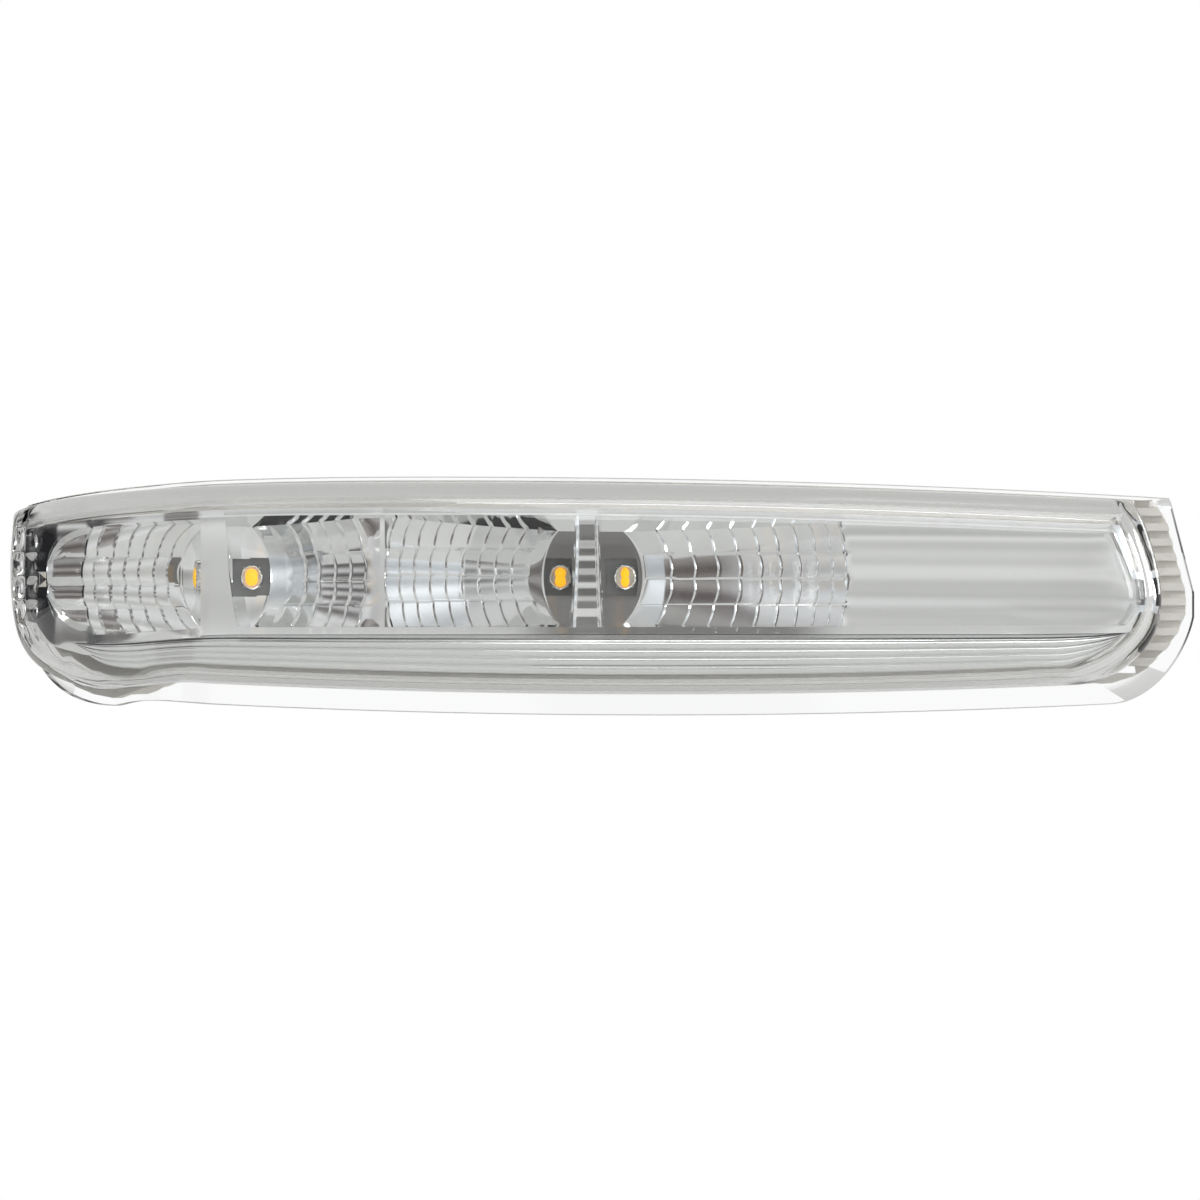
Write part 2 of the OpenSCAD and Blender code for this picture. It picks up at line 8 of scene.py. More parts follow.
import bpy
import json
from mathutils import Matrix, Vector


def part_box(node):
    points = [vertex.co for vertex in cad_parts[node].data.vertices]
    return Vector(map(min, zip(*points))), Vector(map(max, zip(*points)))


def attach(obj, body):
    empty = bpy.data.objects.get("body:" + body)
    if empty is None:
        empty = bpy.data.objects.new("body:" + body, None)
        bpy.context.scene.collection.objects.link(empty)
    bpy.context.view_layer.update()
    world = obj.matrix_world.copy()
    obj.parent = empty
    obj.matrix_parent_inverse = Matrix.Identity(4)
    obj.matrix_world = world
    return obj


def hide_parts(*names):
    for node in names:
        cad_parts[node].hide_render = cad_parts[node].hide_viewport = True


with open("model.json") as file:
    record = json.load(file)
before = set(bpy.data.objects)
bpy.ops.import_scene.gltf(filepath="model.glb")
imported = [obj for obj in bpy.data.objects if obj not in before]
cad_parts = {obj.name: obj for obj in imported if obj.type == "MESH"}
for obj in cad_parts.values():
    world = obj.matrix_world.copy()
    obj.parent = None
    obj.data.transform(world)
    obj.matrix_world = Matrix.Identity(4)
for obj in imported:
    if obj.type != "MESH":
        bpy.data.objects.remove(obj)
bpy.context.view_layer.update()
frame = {"nodes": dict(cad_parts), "record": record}

import json
import math
from typing import NamedTuple

import bpy
import numpy as np
from bpy.props import FloatProperty, FloatVectorProperty, PointerProperty

bl_info = {
    "name": "Side Repeater Lamp",
    "version": (1, 0, 0),
    "blender": (4, 5, 0),
    "location": "View3D > Sidebar > Lamp",
    "description": "Builds the lens, reflector, housing, LEDs and studio of a side repeater lamp",
    "category": "Object",
}

MM = 0.001
RAD = 180 / math.pi
BODY = "root"


def mix(p, q, f):
    """Point at the share f of the way from p to q."""
    return p + (q - p) * f


def clip(v):
    """Value held between 0 and 1."""
    return np.clip(v, 0.0, 1.0)


def ease(v):
    """Smooth step: 3v² - 2v³, held between 0 and 1."""
    v = clip(v)
    return v * v * (3 - 2 * v)


def node_box(name):
    """Lowest and highest corners of a solid, in millimetres."""
    low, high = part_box(name)
    return np.array(low) / MM, np.array(high) / MM


class LampSizes(bpy.types.PropertyGroup):
    """Sizes of the lamp, in millimetres and degrees."""
    lamp_l: FloatProperty(
        name="Length", default=200, min=194, max=210, description="Length across the front, in mm")
    lamp_h: FloatProperty(
        name="Height", default=40, min=39.5, max=43, description="Height of the lens flange, in mm")
    front_r: FloatProperty(
        name="Front radius", default=520, min=460, max=700, description="Plan radius of the long front, in mm")
    tip_r: FloatProperty(
        name="Tip radius", default=40, min=38, max=44, description="Plan radius of the wrapped end, in mm")
    tip_turn: FloatProperty(
        name="Tip turn", default=88, min=84, max=89, description="Angle of the wrapped end, in degrees")
    taper_l: FloatProperty(
        name="Taper", default=42, min=38, max=46, description="Length of the taper at the nose, in mm")
    apex_x: FloatProperty(
        name="Foremost point", default=15, min=8, max=22, description="X of the foremost point, in mm")
    lens_wall: FloatProperty(
        name="Lens wall", default=1.8, min=1.5, max=2.1, description="Wall of the clear lens, in mm")
    bowl_d: FloatProperty(
        name="Lens depth", default=14, min=13.5, max=15, description="Depth to the back of the flange, in mm")
    flange_t: FloatProperty(
        name="Flange", default=1.6, min=1.2, max=2, description="Thickness of the flange, in mm")
    flange_top: FloatProperty(
        name="Flange top", default=0.9, min=0.7, max=1.2, description="Width of the flange along the top, in mm")
    flange_bottom: FloatProperty(
        name="Flange bottom", default=3.5, min=3, max=3.9, description="Width along the bottom, in mm")
    flange_end: FloatProperty(
        name="Flange end", default=6.5, min=5.5, max=7.5, description="Width at the inner end, in mm")
    flute_h: FloatProperty(
        name="Flute height", default=0.5, min=0.3, max=0.9, description="Height of the lens flutes, in mm")
    flute_pitch: FloatProperty(
        name="Flute pitch", default=4, min=3, max=5, description="From one flute to the next, in mm")
    housing_wall: FloatProperty(
        name="Housing wall", default=2, min=1.6, max=2.4, description="Wall of the housing, in mm")
    reflector_wall: FloatProperty(
        name="Reflector wall", default=1.2, min=1, max=1.4, description="Wall of the reflector, in mm")
    lip_d: FloatProperty(
        name="Lip depth", default=5.5, min=5, max=6, description="Depth of the reflector's lip, in mm")
    window_h: FloatProperty(
        name="Opening", default=18.4, min=17.6, max=18.6, description="Height of the reflector's opening, in mm")
    step_h: FloatProperty(
        name="Step height", default=0.5, min=0.5, max=1.1, description="Height of each reflector step, in mm")
    facet_tilt: FloatProperty(
        name="Facet tilt", default=0.015, min=0, max=0.12, description="Slope of each facet of a step")
    facet_h: FloatProperty(
        name="Facet crown", default=0.12, min=0, max=0.5, description="Crown of each facet of a step, in mm")


class LampColours(bpy.types.PropertyGroup):
    """Colours of the lamp's finishes."""
    lens: FloatVectorProperty(
        name="Lens", description="Clear plastic of the lens",
        subtype="COLOR", size=3, default=(0.985, 0.99, 0.99), min=0, max=1)
    metal: FloatVectorProperty(
        name="Metallising", description="Bright metal on the reflector",
        subtype="COLOR", size=3, default=(0.9, 0.905, 0.9), min=0, max=1)
    housing: FloatVectorProperty(
        name="Housing", description="Grey plastic of the housing",
        subtype="COLOR", size=3, default=(0.76, 0.73, 0.68), min=0, max=1)
    board: FloatVectorProperty(
        name="Board", description="Coating of the circuit boards",
        subtype="COLOR", size=3, default=(0.36, 0.365, 0.36), min=0, max=1)
    amber: FloatVectorProperty(
        name="Amber", description="Phosphor of the LEDs",
        subtype="COLOR", size=3, default=(1.0, 0.55, 0.01), min=0, max=1)


class LampForm:
    """The lamp's curved layers: the same rules as the solids follow, on whole arrays."""

    def __init__(self, sizes):
        s = self.s = sizes
        self.front_y = node_box("lens")[0][1]
        self.x_left = -s.lamp_l / 2
        self.x_right = s.lamp_l / 2
        self.blend_a = math.asin((s.apex_x - self.x_left - s.tip_r) / (s.front_r - s.tip_r))
        self.blend_s = s.front_r * self.blend_a
        self.front_c = np.array([s.apex_x, self.front_y + s.front_r])
        along = np.array([math.sin(self.blend_a), math.cos(self.blend_a)])
        self.tip_c = self.front_c - (s.front_r - s.tip_r) * along
        self.a_right = s.apex_x + s.front_r * math.asin((self.x_right - s.apex_x) / (s.front_r - s.bowl_d))
        self.a_left = s.apex_x - self.blend_s - s.tip_r * (s.tip_turn / RAD - self.blend_a)
        self.close_top_left = 4.0
        self.point_a = self.a_left + 30

        # Insets of the outlines, in the order: inner end, wrapped end, top, bottom.
        self.lens_rim = np.array([s.flange_end, 1.4, s.flange_top, s.flange_bottom])
        self.lens_in = self.lens_rim + s.lens_wall
        housing_rim = np.array([s.flange_end + 0.6, 3, s.flange_top + 1.1, s.flange_bottom + 0.6])
        self.housing_in = housing_rim + s.housing_wall

    def arc(self, on_tip, d):
        """Radius and middle of the arc at depth d, the tip's or the long front's."""
        r = np.where(on_tip, self.s.tip_r, self.s.front_r) - d
        return r, *(np.where(on_tip, tip, front) for tip, front in zip(self.tip_c, self.front_c))

    def at(self, a, z, d):
        """Point at the unrolled place a, height z and depth d: on the long arc, or past the blend on the tip's
        arc. Each arc's angle is the length along it over its radius."""
        a, z, d = np.broadcast_arrays(np.asarray(a, float), z, d)
        s = self.s.apex_x - a
        on_tip = s >= self.blend_s
        t = np.where(on_tip, self.blend_a + (s - self.blend_s) / self.s.tip_r, s / self.s.front_r)
        r, cx, cy = self.arc(on_tip, d)
        return np.stack([cx - r * np.sin(t), cy - r * np.cos(t), z], axis=-1)

    def y_at(self, x, d):
        """Y of the surface d behind the front, at x."""
        x = np.asarray(x, float)
        on_tip = x < self.tip_c[0] - (self.s.tip_r - d) * math.sin(self.blend_a)
        r, cx, cy = self.arc(on_tip, d)
        return cy - np.sqrt(np.maximum(r * r - (cx - x) ** 2, 1.0))

    def taper(self, a):
        """Share by which the layers have got shallower at a, 0 on the long front and 1 at the nose."""
        return clip(1 - (a - self.a_left) / self.s.taper_l) ** 1.25

    def lens_back(self, a):
        """Depth of the flange's back: bowl_d, and only wall and flange at the nose."""
        return mix(self.s.bowl_d, self.s.lens_wall + self.s.flange_t, self.taper(a))

    def flange_front(self, a):
        """Depth of the flange's front."""
        return self.lens_back(a) - self.s.flange_t

    def spine_z(self, a):
        """Height of the spine, which falls a little towards the inner end."""
        return 2.4 - 0.03 * a

    def top_z(self, a):
        """Top of the flange: a shallow crown that falls away to both ends."""
        right = 3.8 * (np.maximum(a + 30, 0) / (self.a_right + 30)) ** 2
        left = 4.6 * (np.maximum(-30 - a, 0) / (-30 - self.a_left - self.close_top_left)) ** 2.4
        return self.s.lamp_h / 2 - np.where(a > -30, right, left)

    def bottom_z(self, a, g=0.0):
        """Bottom of the flange: a shallow crown, with a small point where it starts up round the tip. The point
        gets lower and wider in an outline inset by g."""
        b = np.maximum(a, self.point_a)
        point = 1.6 * math.exp(-g / 2) * np.exp(-((b - self.point_a) / (5 + g)) ** 1.3)
        return -self.s.lamp_h / 2 + 0.2 + 2.1 * ((b - 10) / 84) ** 2 - point

    def low_inset(self, a, g):
        """Inset along the bottom: g, and less by up to 2.4 mm round the point, where the flange is narrow."""
        return g - min(g, 2.4) * (1 - ease((a - self.point_a + 6) / 28))

    def rim(self, t, up, g):
        """Point [a, z] at the share t of the outline inset by g = [inner end, wrapped end, top, bottom]. Near both
        ends the edge is pulled to the spine: along a line at the top, along (1 - u^p)^q at the bottom."""
        ar, al = self.a_right - g[0], self.a_left + g[1]
        a = mix(ar, al, t)
        zs = self.spine_z(a)
        edge = np.where(up, self.top_z(a) - g[2], self.bottom_z(a, g[3]) + self.low_inset(a, g[3]))
        u_right = np.where(up, 1 - (ar - a) / 4.6, 1 - (ar - a) / 15)
        u_left = np.where(up, 1 - (a - al) / self.close_top_left, 1 - (a - al) / (self.point_a - self.a_left))
        right = np.where(up, 1 - clip(u_right), (1 - clip(u_right) ** 2) ** 0.58)
        left = np.where(up, 1 - clip(u_left), (1 - clip(u_left) ** 2.1) ** 0.5)
        return np.stack([a, zs + (edge - zs) * right * left], axis=-1)

    def spine(self, t):
        """Point [a, z] of the line that the rounded front rises to."""
        a = mix(self.a_right - self.s.flange_end - 14, self.a_left + 12, t)
        return np.stack([a, self.spine_z(a)], axis=-1)

    def walk(self, stations):
        """Shares t and sides (top or bottom) round an outline: along the top, then back along the bottom."""
        u = np.linspace(0, 1, stations)
        t = mix(0.0015, 0.998, mix(u, (1 - np.cos(math.pi * u)) / 2, 0.8))
        return np.concatenate([t, t[::-1]]), np.repeat([True, False], stations)

    def squareness(self, t, up):
        """Exponent of the bowl's rounding: square along the top, round along the bottom, square at both ends."""
        top, bottom, ends = 4.5, 2.4, 5
        return mix(np.where(up, top, bottom), ends, ease(1 - np.minimum(t, 1 - t) / 0.1))

    def flat_ring(self, walk, g, depth):
        """Ring on the outline inset by g, at a depth that is a rule of a."""
        p = self.rim(walk[0], walk[1], g)
        return self.at(p[:, 0], p[:, 1], depth(p[:, 0]))

    def bowl_ring(self, walk, g, low, high, across, power):
        """Ring of a rounded bowl: across runs from 1 at the rim to 0 at the spine, and the depth follows
        the superellipse across^p + rise^p = 1 between the layers low and high."""
        rise = (1 - across ** power) ** (1 / power)
        rim, spine = self.softened(walk[0], self.rim(walk[0], walk[1], g)), self.spine(walk[0])
        q = mix(spine, rim, across)
        return self.at(q[:, 0], q[:, 1], mix(low(q[:, 0]), high(q[:, 0]), rise))

    def softened(self, t, points):
        """Outline whose corner at the inner end is rounded: each point there moves to the mean of its two
        neighbours, over and over."""
        weight = 0.5 * ease((0.035 - t) / 0.02)[:, None]
        for _ in range(50):
            points = points + weight * ((np.roll(points, 1, 0) + np.roll(points, -1, 0)) / 2 - points)
        return points

    def inside(self, t, up, d, gap):
        """Point [x, y, z] of the inside of the lens at depth d, less gap: its outline in the front view."""
        g = np.maximum(self.lens_in, self.housing_in) + gap
        e = self.rim(t, up, g)
        back = self.lens_back(e[:, 0])
        p = self.squareness(t, up)
        across = (1 - clip((back - d) / (back - self.s.lens_wall)) ** p) ** (1 / p)
        q = mix(self.spine(t), e, across[:, None])
        return self.at(q[:, 0], q[:, 1], d)


def rings_from(f_steps, flat_steps):
    """Shares across a bowl from its rim to its spine: close together on the rounding, even on the flat part."""
    edge = np.cos(np.linspace(0.02, 1.15, f_steps)) ** 0.42
    return np.concatenate([edge, np.linspace(edge[-1], 0.0, flat_steps + 1)[1:]])


class Solid:
    """Points and faces of one piece, gathered block by block. Each block is closed and faces outwards."""

    def __init__(self):
        self.points, self.faces, self.count = [], [], 0

    def closed(self, points, quads, tris=None):
        """Adds a closed block, turned so that the volume inside its faces is positive."""
        tri = np.concatenate([quads[:, [0, 1, 2]], quads[:, [0, 2, 3]]] + ([tris] if tris is not None else []))
        p = points - points.mean(0)
        volume = np.einsum("ij,ij->", p[tri[:, 0]], np.cross(p[tri[:, 1]], p[tri[:, 2]]))
        if volume < 0:
            quads = quads[:, ::-1]
            tris = tris[:, ::-1] if tris is not None else None
        self.points.append(points)
        self.faces += (quads + self.count).tolist()
        if tris is not None:
            self.faces += (tris + self.count).tolist()
        self.count += len(points)

    def slab(self, front, back, keep=None):
        """Block between two grids of the same size. Cells of the grid that keep leaves out are holes."""
        rows, cols = front.shape[:2]
        if keep is None:
            keep = np.ones((rows - 1, cols - 1), bool)
        n = rows * cols
        index = np.arange(n).reshape(rows, cols)
        i, j = np.nonzero(keep)
        f = np.stack([index[i, j], index[i, j + 1], index[i + 1, j + 1], index[i + 1, j]], axis=-1)
        quads = [f, f[:, ::-1] + n]
        pad = np.pad(keep, 1)
        here = pad[1:-1, 1:-1]
        sides = ((0, 1, (1, 1), (0, 1)), (0, -1, (0, 0), (1, 0)), (-1, 0, (0, 1), (0, 0)), (1, 0, (1, 0), (1, 1)))
        for di, dj, one, two in sides:
            other = pad[1 + di:pad.shape[0] - 1 + di, 1 + dj:pad.shape[1] - 1 + dj]
            i, j = np.nonzero(here & ~other)
            p, q = index[i + one[0], j + one[1]], index[i + two[0], j + two[1]]
            quads.append(np.stack([p, q, q + n, p + n], axis=-1))
        self.closed(np.concatenate([front.reshape(-1, 3), back.reshape(-1, 3)]), np.concatenate(quads))

    def rings(self, rings, caps="strip"):
        """Closed block through rings of points. Its ends are closed by strips from the top half of the ring
        to the bottom half, or by a point at each end's middle."""
        grid = np.stack(rings)
        rows, cols = grid.shape[:2]
        r, c = np.meshgrid(np.arange(rows - 1), np.arange(cols), indexing="ij")
        n = (c + 1) % cols
        quads = np.stack([r * cols + c, r * cols + n, (r + 1) * cols + n, (r + 1) * cols + c], axis=-1).reshape(-1, 4)
        points = grid.reshape(-1, 3)
        if caps == "strip":
            k = np.arange(cols // 2 - 1)
            low = np.stack([k + 1, k, cols - 1 - k, cols - 2 - k], axis=-1)
            high = low[:, ::-1] + (rows - 1) * cols
            self.closed(points, np.concatenate([quads, low, high]))
            return
        points = np.concatenate([points, grid[0].mean(0)[None], grid[-1].mean(0)[None]])
        k = np.arange(cols)
        low = np.stack([(k + 1) % cols, k, np.full(cols, rows * cols)], axis=-1)
        top = (rows - 1) * cols
        high = np.stack([k + top, (k + 1) % cols + top, np.full(cols, rows * cols + 1)], axis=-1)
        self.closed(points, quads, np.concatenate([low, high]))

    def turned(self, centre, profile, steps, axis, squash):
        """Block turned from a profile of [radius, height] points about an axis along Y or X through centre. squash
        gives the factor on the radius by the angle."""
        t = np.linspace(0, 2 * math.pi, steps, endpoint=False)
        spread = squash(t)
        rings = []
        for radius, height in profile:
            u, v = radius * spread * np.cos(t), radius * spread * np.sin(t)
            h = np.full(steps, float(height))
            ring = (u, h, v) if axis == "y" else (h, u, v)
            rings.append(np.array(centre, float) + np.stack(ring, -1))
        self.rings(rings, caps="point")

    def piece(self, name, material, slot, nodes=(), smooth_angle=32):
        """Makes the mesh object, in metres, parents it to the body's empty and hides the solids that it stands for.
        """
        mesh = bpy.data.meshes.new(name)
        mesh.from_pydata((np.concatenate(self.points) * MM).tolist(), [], self.faces)
        mesh.validate()
        mesh.shade_smooth()
        mesh.set_sharp_from_angle(angle=math.radians(smooth_angle))
        mesh.materials.append(material)
        obj = bpy.data.objects.new(name, mesh)
        bpy.context.scene.collection.objects.link(obj)
        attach(obj, BODY)
        if nodes:
            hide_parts(*nodes)
        return obj


def coat(node, material):
    """Gives a node of the solids its material."""
    materials = frame["nodes"][node].data.materials
    materials.clear()
    materials.append(material)


def new_material(name):
    """A new material and its Principled shader, node tree and links."""
    material = bpy.data.materials.new(name)
    material.use_nodes = True
    tree = material.node_tree
    return material, tree.nodes["Principled BSDF"], tree


def fine_relief_group():
    """Node group that turns two noises on Object coordinates, one fine and one broad, into a bump and a mask."""
    group = bpy.data.node_groups.get("Fine Relief")
    if group:
        return group
    group = bpy.data.node_groups.new("Fine Relief", "ShaderNodeTree")
    for name, value in (("Fine Scale", 2500), ("Broad Scale", 60), ("Strength", 0.1)):
        group.interface.new_socket(name, in_out="INPUT", socket_type="NodeSocketFloat").default_value = value
    group.interface.new_socket("Normal", in_out="OUTPUT", socket_type="NodeSocketVector")
    group.interface.new_socket("Mask", in_out="OUTPUT", socket_type="NodeSocketFloat")
    nodes, links = group.nodes, group.links
    entry, leave = nodes.new("NodeGroupInput"), nodes.new("NodeGroupOutput")
    place = nodes.new("ShaderNodeTexCoord")
    fine, broad = nodes.new("ShaderNodeTexNoise"), nodes.new("ShaderNodeTexNoise")
    fine.inputs["Detail"].default_value = 3
    bump = nodes.new("ShaderNodeBump")
    bump.inputs["Distance"].default_value = 0.0002
    for noise, socket in ((fine, "Fine Scale"), (broad, "Broad Scale")):
        links.new(place.outputs["Object"], noise.inputs["Vector"])
        links.new(entry.outputs[socket], noise.inputs["Scale"])
    links.new(fine.outputs["Fac"], bump.inputs["Height"])
    links.new(entry.outputs["Strength"], bump.inputs["Strength"])
    links.new(bump.outputs["Normal"], leave.inputs["Normal"])
    links.new(broad.outputs["Fac"], leave.inputs["Mask"])
    return group


def add_relief(tree, shader, fine, broad, strength, rough_low, rough_high):
    """Puts the relief group into a material, for its normal and its roughness."""
    node = tree.nodes.new("ShaderNodeGroup")
    node.node_tree = fine_relief_group()
    node.inputs["Fine Scale"].default_value = fine
    node.inputs["Broad Scale"].default_value = broad
    node.inputs["Strength"].default_value = strength
    spread = tree.nodes.new("ShaderNodeMapRange")
    spread.inputs["To Min"].default_value = rough_low
    spread.inputs["To Max"].default_value = rough_high
    tree.links.new(node.outputs["Normal"], shader.inputs["Normal"])
    tree.links.new(node.outputs["Mask"], spread.inputs["Value"])
    tree.links.new(spread.outputs["Result"], shader.inputs["Roughness"])
    return node


def tint_by_mask(tree, shader, mask, one, two):
    """Colour between two shades by a mask."""
    blend = tree.nodes.new("ShaderNodeMix")
    blend.data_type = "RGBA"
    blend.inputs["A"].default_value = (*one, 1)
    blend.inputs["B"].default_value = (*two, 1)
    tree.links.new(mask, blend.inputs["Factor"])
    tree.links.new(blend.outputs["Result"], shader.inputs["Base Color"])


def lens_material(colours):
    """Clear polished plastic. Most light passes straight through it to what lies behind."""
    material, shader, tree = new_material("clear_lens")
    rays, left = tree.nodes.new("ShaderNodeLightPath"), tree.nodes.new("ShaderNodeMapRange")
    left.inputs["To Min"].default_value = 1
    left.inputs["To Max"].default_value = 0.15
    tree.links.new(rays.outputs["Is Shadow Ray"], left.inputs["Value"])
    tree.links.new(left.outputs["Result"], shader.inputs["Alpha"])
    shader.inputs["Base Color"].default_value = (*colours.lens, 1)
    shader.inputs["Transmission Weight"].default_value = 1
    shader.inputs["IOR"].default_value = 1.49
    shader.inputs["Roughness"].default_value = 0
    return material


def metal_material(colours):
    """Bright vacuum-metallised plastic with a very light haze."""
    material, shader, tree = new_material("metallised")
    shader.inputs["Metallic"].default_value = 1
    relief = add_relief(tree, shader, 400, 90, 0.006, 0.03, 0.07)
    tint_by_mask(tree, shader, relief.outputs["Mask"], [c * 0.97 for c in colours.metal], colours.metal)
    return material


def housing_material(colours):
    """Grey moulded plastic with a fine grain."""
    material, shader, tree = new_material("housing_grey")
    relief = add_relief(tree, shader, 2600, 45, 0.25, 0.38, 0.55)
    tint_by_mask(tree, shader, relief.outputs["Mask"], [c * 0.94 for c in colours.housing], colours.housing)
    return material


def plain_material(name, colour, rough, metallic=0.0, strength=0.1, fine=1500):
    """Opaque finish with a fine relief, its colour a little uneven."""
    material, shader, tree = new_material(name)
    shader.inputs["Metallic"].default_value = metallic
    relief = add_relief(tree, shader, fine, 120, strength, rough * 0.85, rough * 1.15)
    tint_by_mask(tree, shader, relief.outputs["Mask"], [c * 0.88 for c in colour], colour)
    return material


def amber_with_painted_glow(colours):
    """Amber phosphor: its own saturated amber colour, plus a painted glow: emission makes the unlit face brighter
    than its lighting.
    """
    material, shader, tree = new_material("amber_phosphor")
    relief = add_relief(tree, shader, 1800, 700, 0.05, 0.3, 0.45)
    tint_by_mask(tree, shader, relief.outputs["Mask"], [c * 0.9 for c in colours.amber], colours.amber)
    # Painted glow: emission of the amber colour brightens the unlit LED face.
    shader.inputs["Emission Color"].default_value = (*colours.amber, 1)
    shader.inputs["Emission Strength"].default_value = 0.75
    return material


class LAMP_OT_lens(bpy.types.Operator):
    """Clear lens: a rounded bowl with a thin flange, and flutes on the inside of its wrapped end"""
    bl_idname = "lamp.lens"
    bl_label = "Lens"

    def execute(self, context):
        s = context.scene.lamp_sizes
        form = LampForm(s)
        walk = form.walk(260)
        power = form.squareness(*walk)
        across = rings_from(22, 26)
        solid = Solid()

        def inside(a):
            return np.full_like(a, s.lens_wall)

        def front(a):
            return np.zeros_like(a)

        inner = [form.bowl_ring(walk, form.lens_in, form.lens_back, inside, c, power) for c in across[::-1]]
        inner = [self.fluted(form, ring) for ring in inner]
        outer = [form.bowl_ring(walk, form.lens_rim, form.flange_front, front, c, power) for c in across]
        none = np.zeros(4)
        flange = [
            form.flat_ring(walk, form.lens_in, form.lens_back),
            form.flat_ring(walk, none + 0.15, form.lens_back),
            form.flat_ring(walk, none, lambda a: form.lens_back(a) - 0.15),
            form.flat_ring(walk, none, lambda a: form.flange_front(a) + 0.15),
            form.flat_ring(walk, none + 0.15, form.flange_front),
            form.flat_ring(walk, form.lens_rim, form.flange_front),
        ]
        solid.rings(inner + flange + outer)
        solid.piece("clear_lens", lens_material(context.scene.lamp_colours), "clear_lens", ["lens"], 40)
        return {"FINISHED"}

    def fluted(self, form, ring):
        """Pushes the inner face inwards by rounded flutes that run round the wrapped end: each is |cos| of the
        height over the pitch, and they fade in between two turns."""
        s = form.s
        out = ring[:, :2] - form.tip_c
        turn = np.arctan2(-out[:, 0], -out[:, 1]) * RAD
        share = ease((turn - 67) / 5)
        height = s.flute_h * np.abs(np.cos(math.pi * (ring[:, 2] - 1.6) / s.flute_pitch)) * share
        r = np.hypot(out[:, 0], out[:, 1])
        wanted = (r - height) / r
        moved = ring.copy()
        moved[:, :2] = form.tip_c + out * wanted[:, None]
        return moved


class CellPlan(NamedTuple):
    """One cell of the reflector, in millimetres."""
    name: str
    led_x: float              # place of the LED
    side: int                 # 1 where the cell runs to +X from the LED, -1 where it runs to -X
    near_x: float             # wall beside the LED
    far_x: float              # wall at the other end
    end_x: float              # where the steps end
    end_d: float              # their depth behind the front there
    rings: tuple              # radii of the rings round the LED
    rows: tuple               # heights between the rows of facets
    window: tuple = ()        # reach of the LED's window, backwards and ahead
    flare: float = 0.0        # how far the near wall flares towards the bottom
    far_wall: float = 1.2     # thickness of the far wall
    bowl: float = 0.0         # how strongly the steps bowl
    flat: bool = False        # flat round the LED
    smooth_end: bool = False  # smooth and waved past the steps


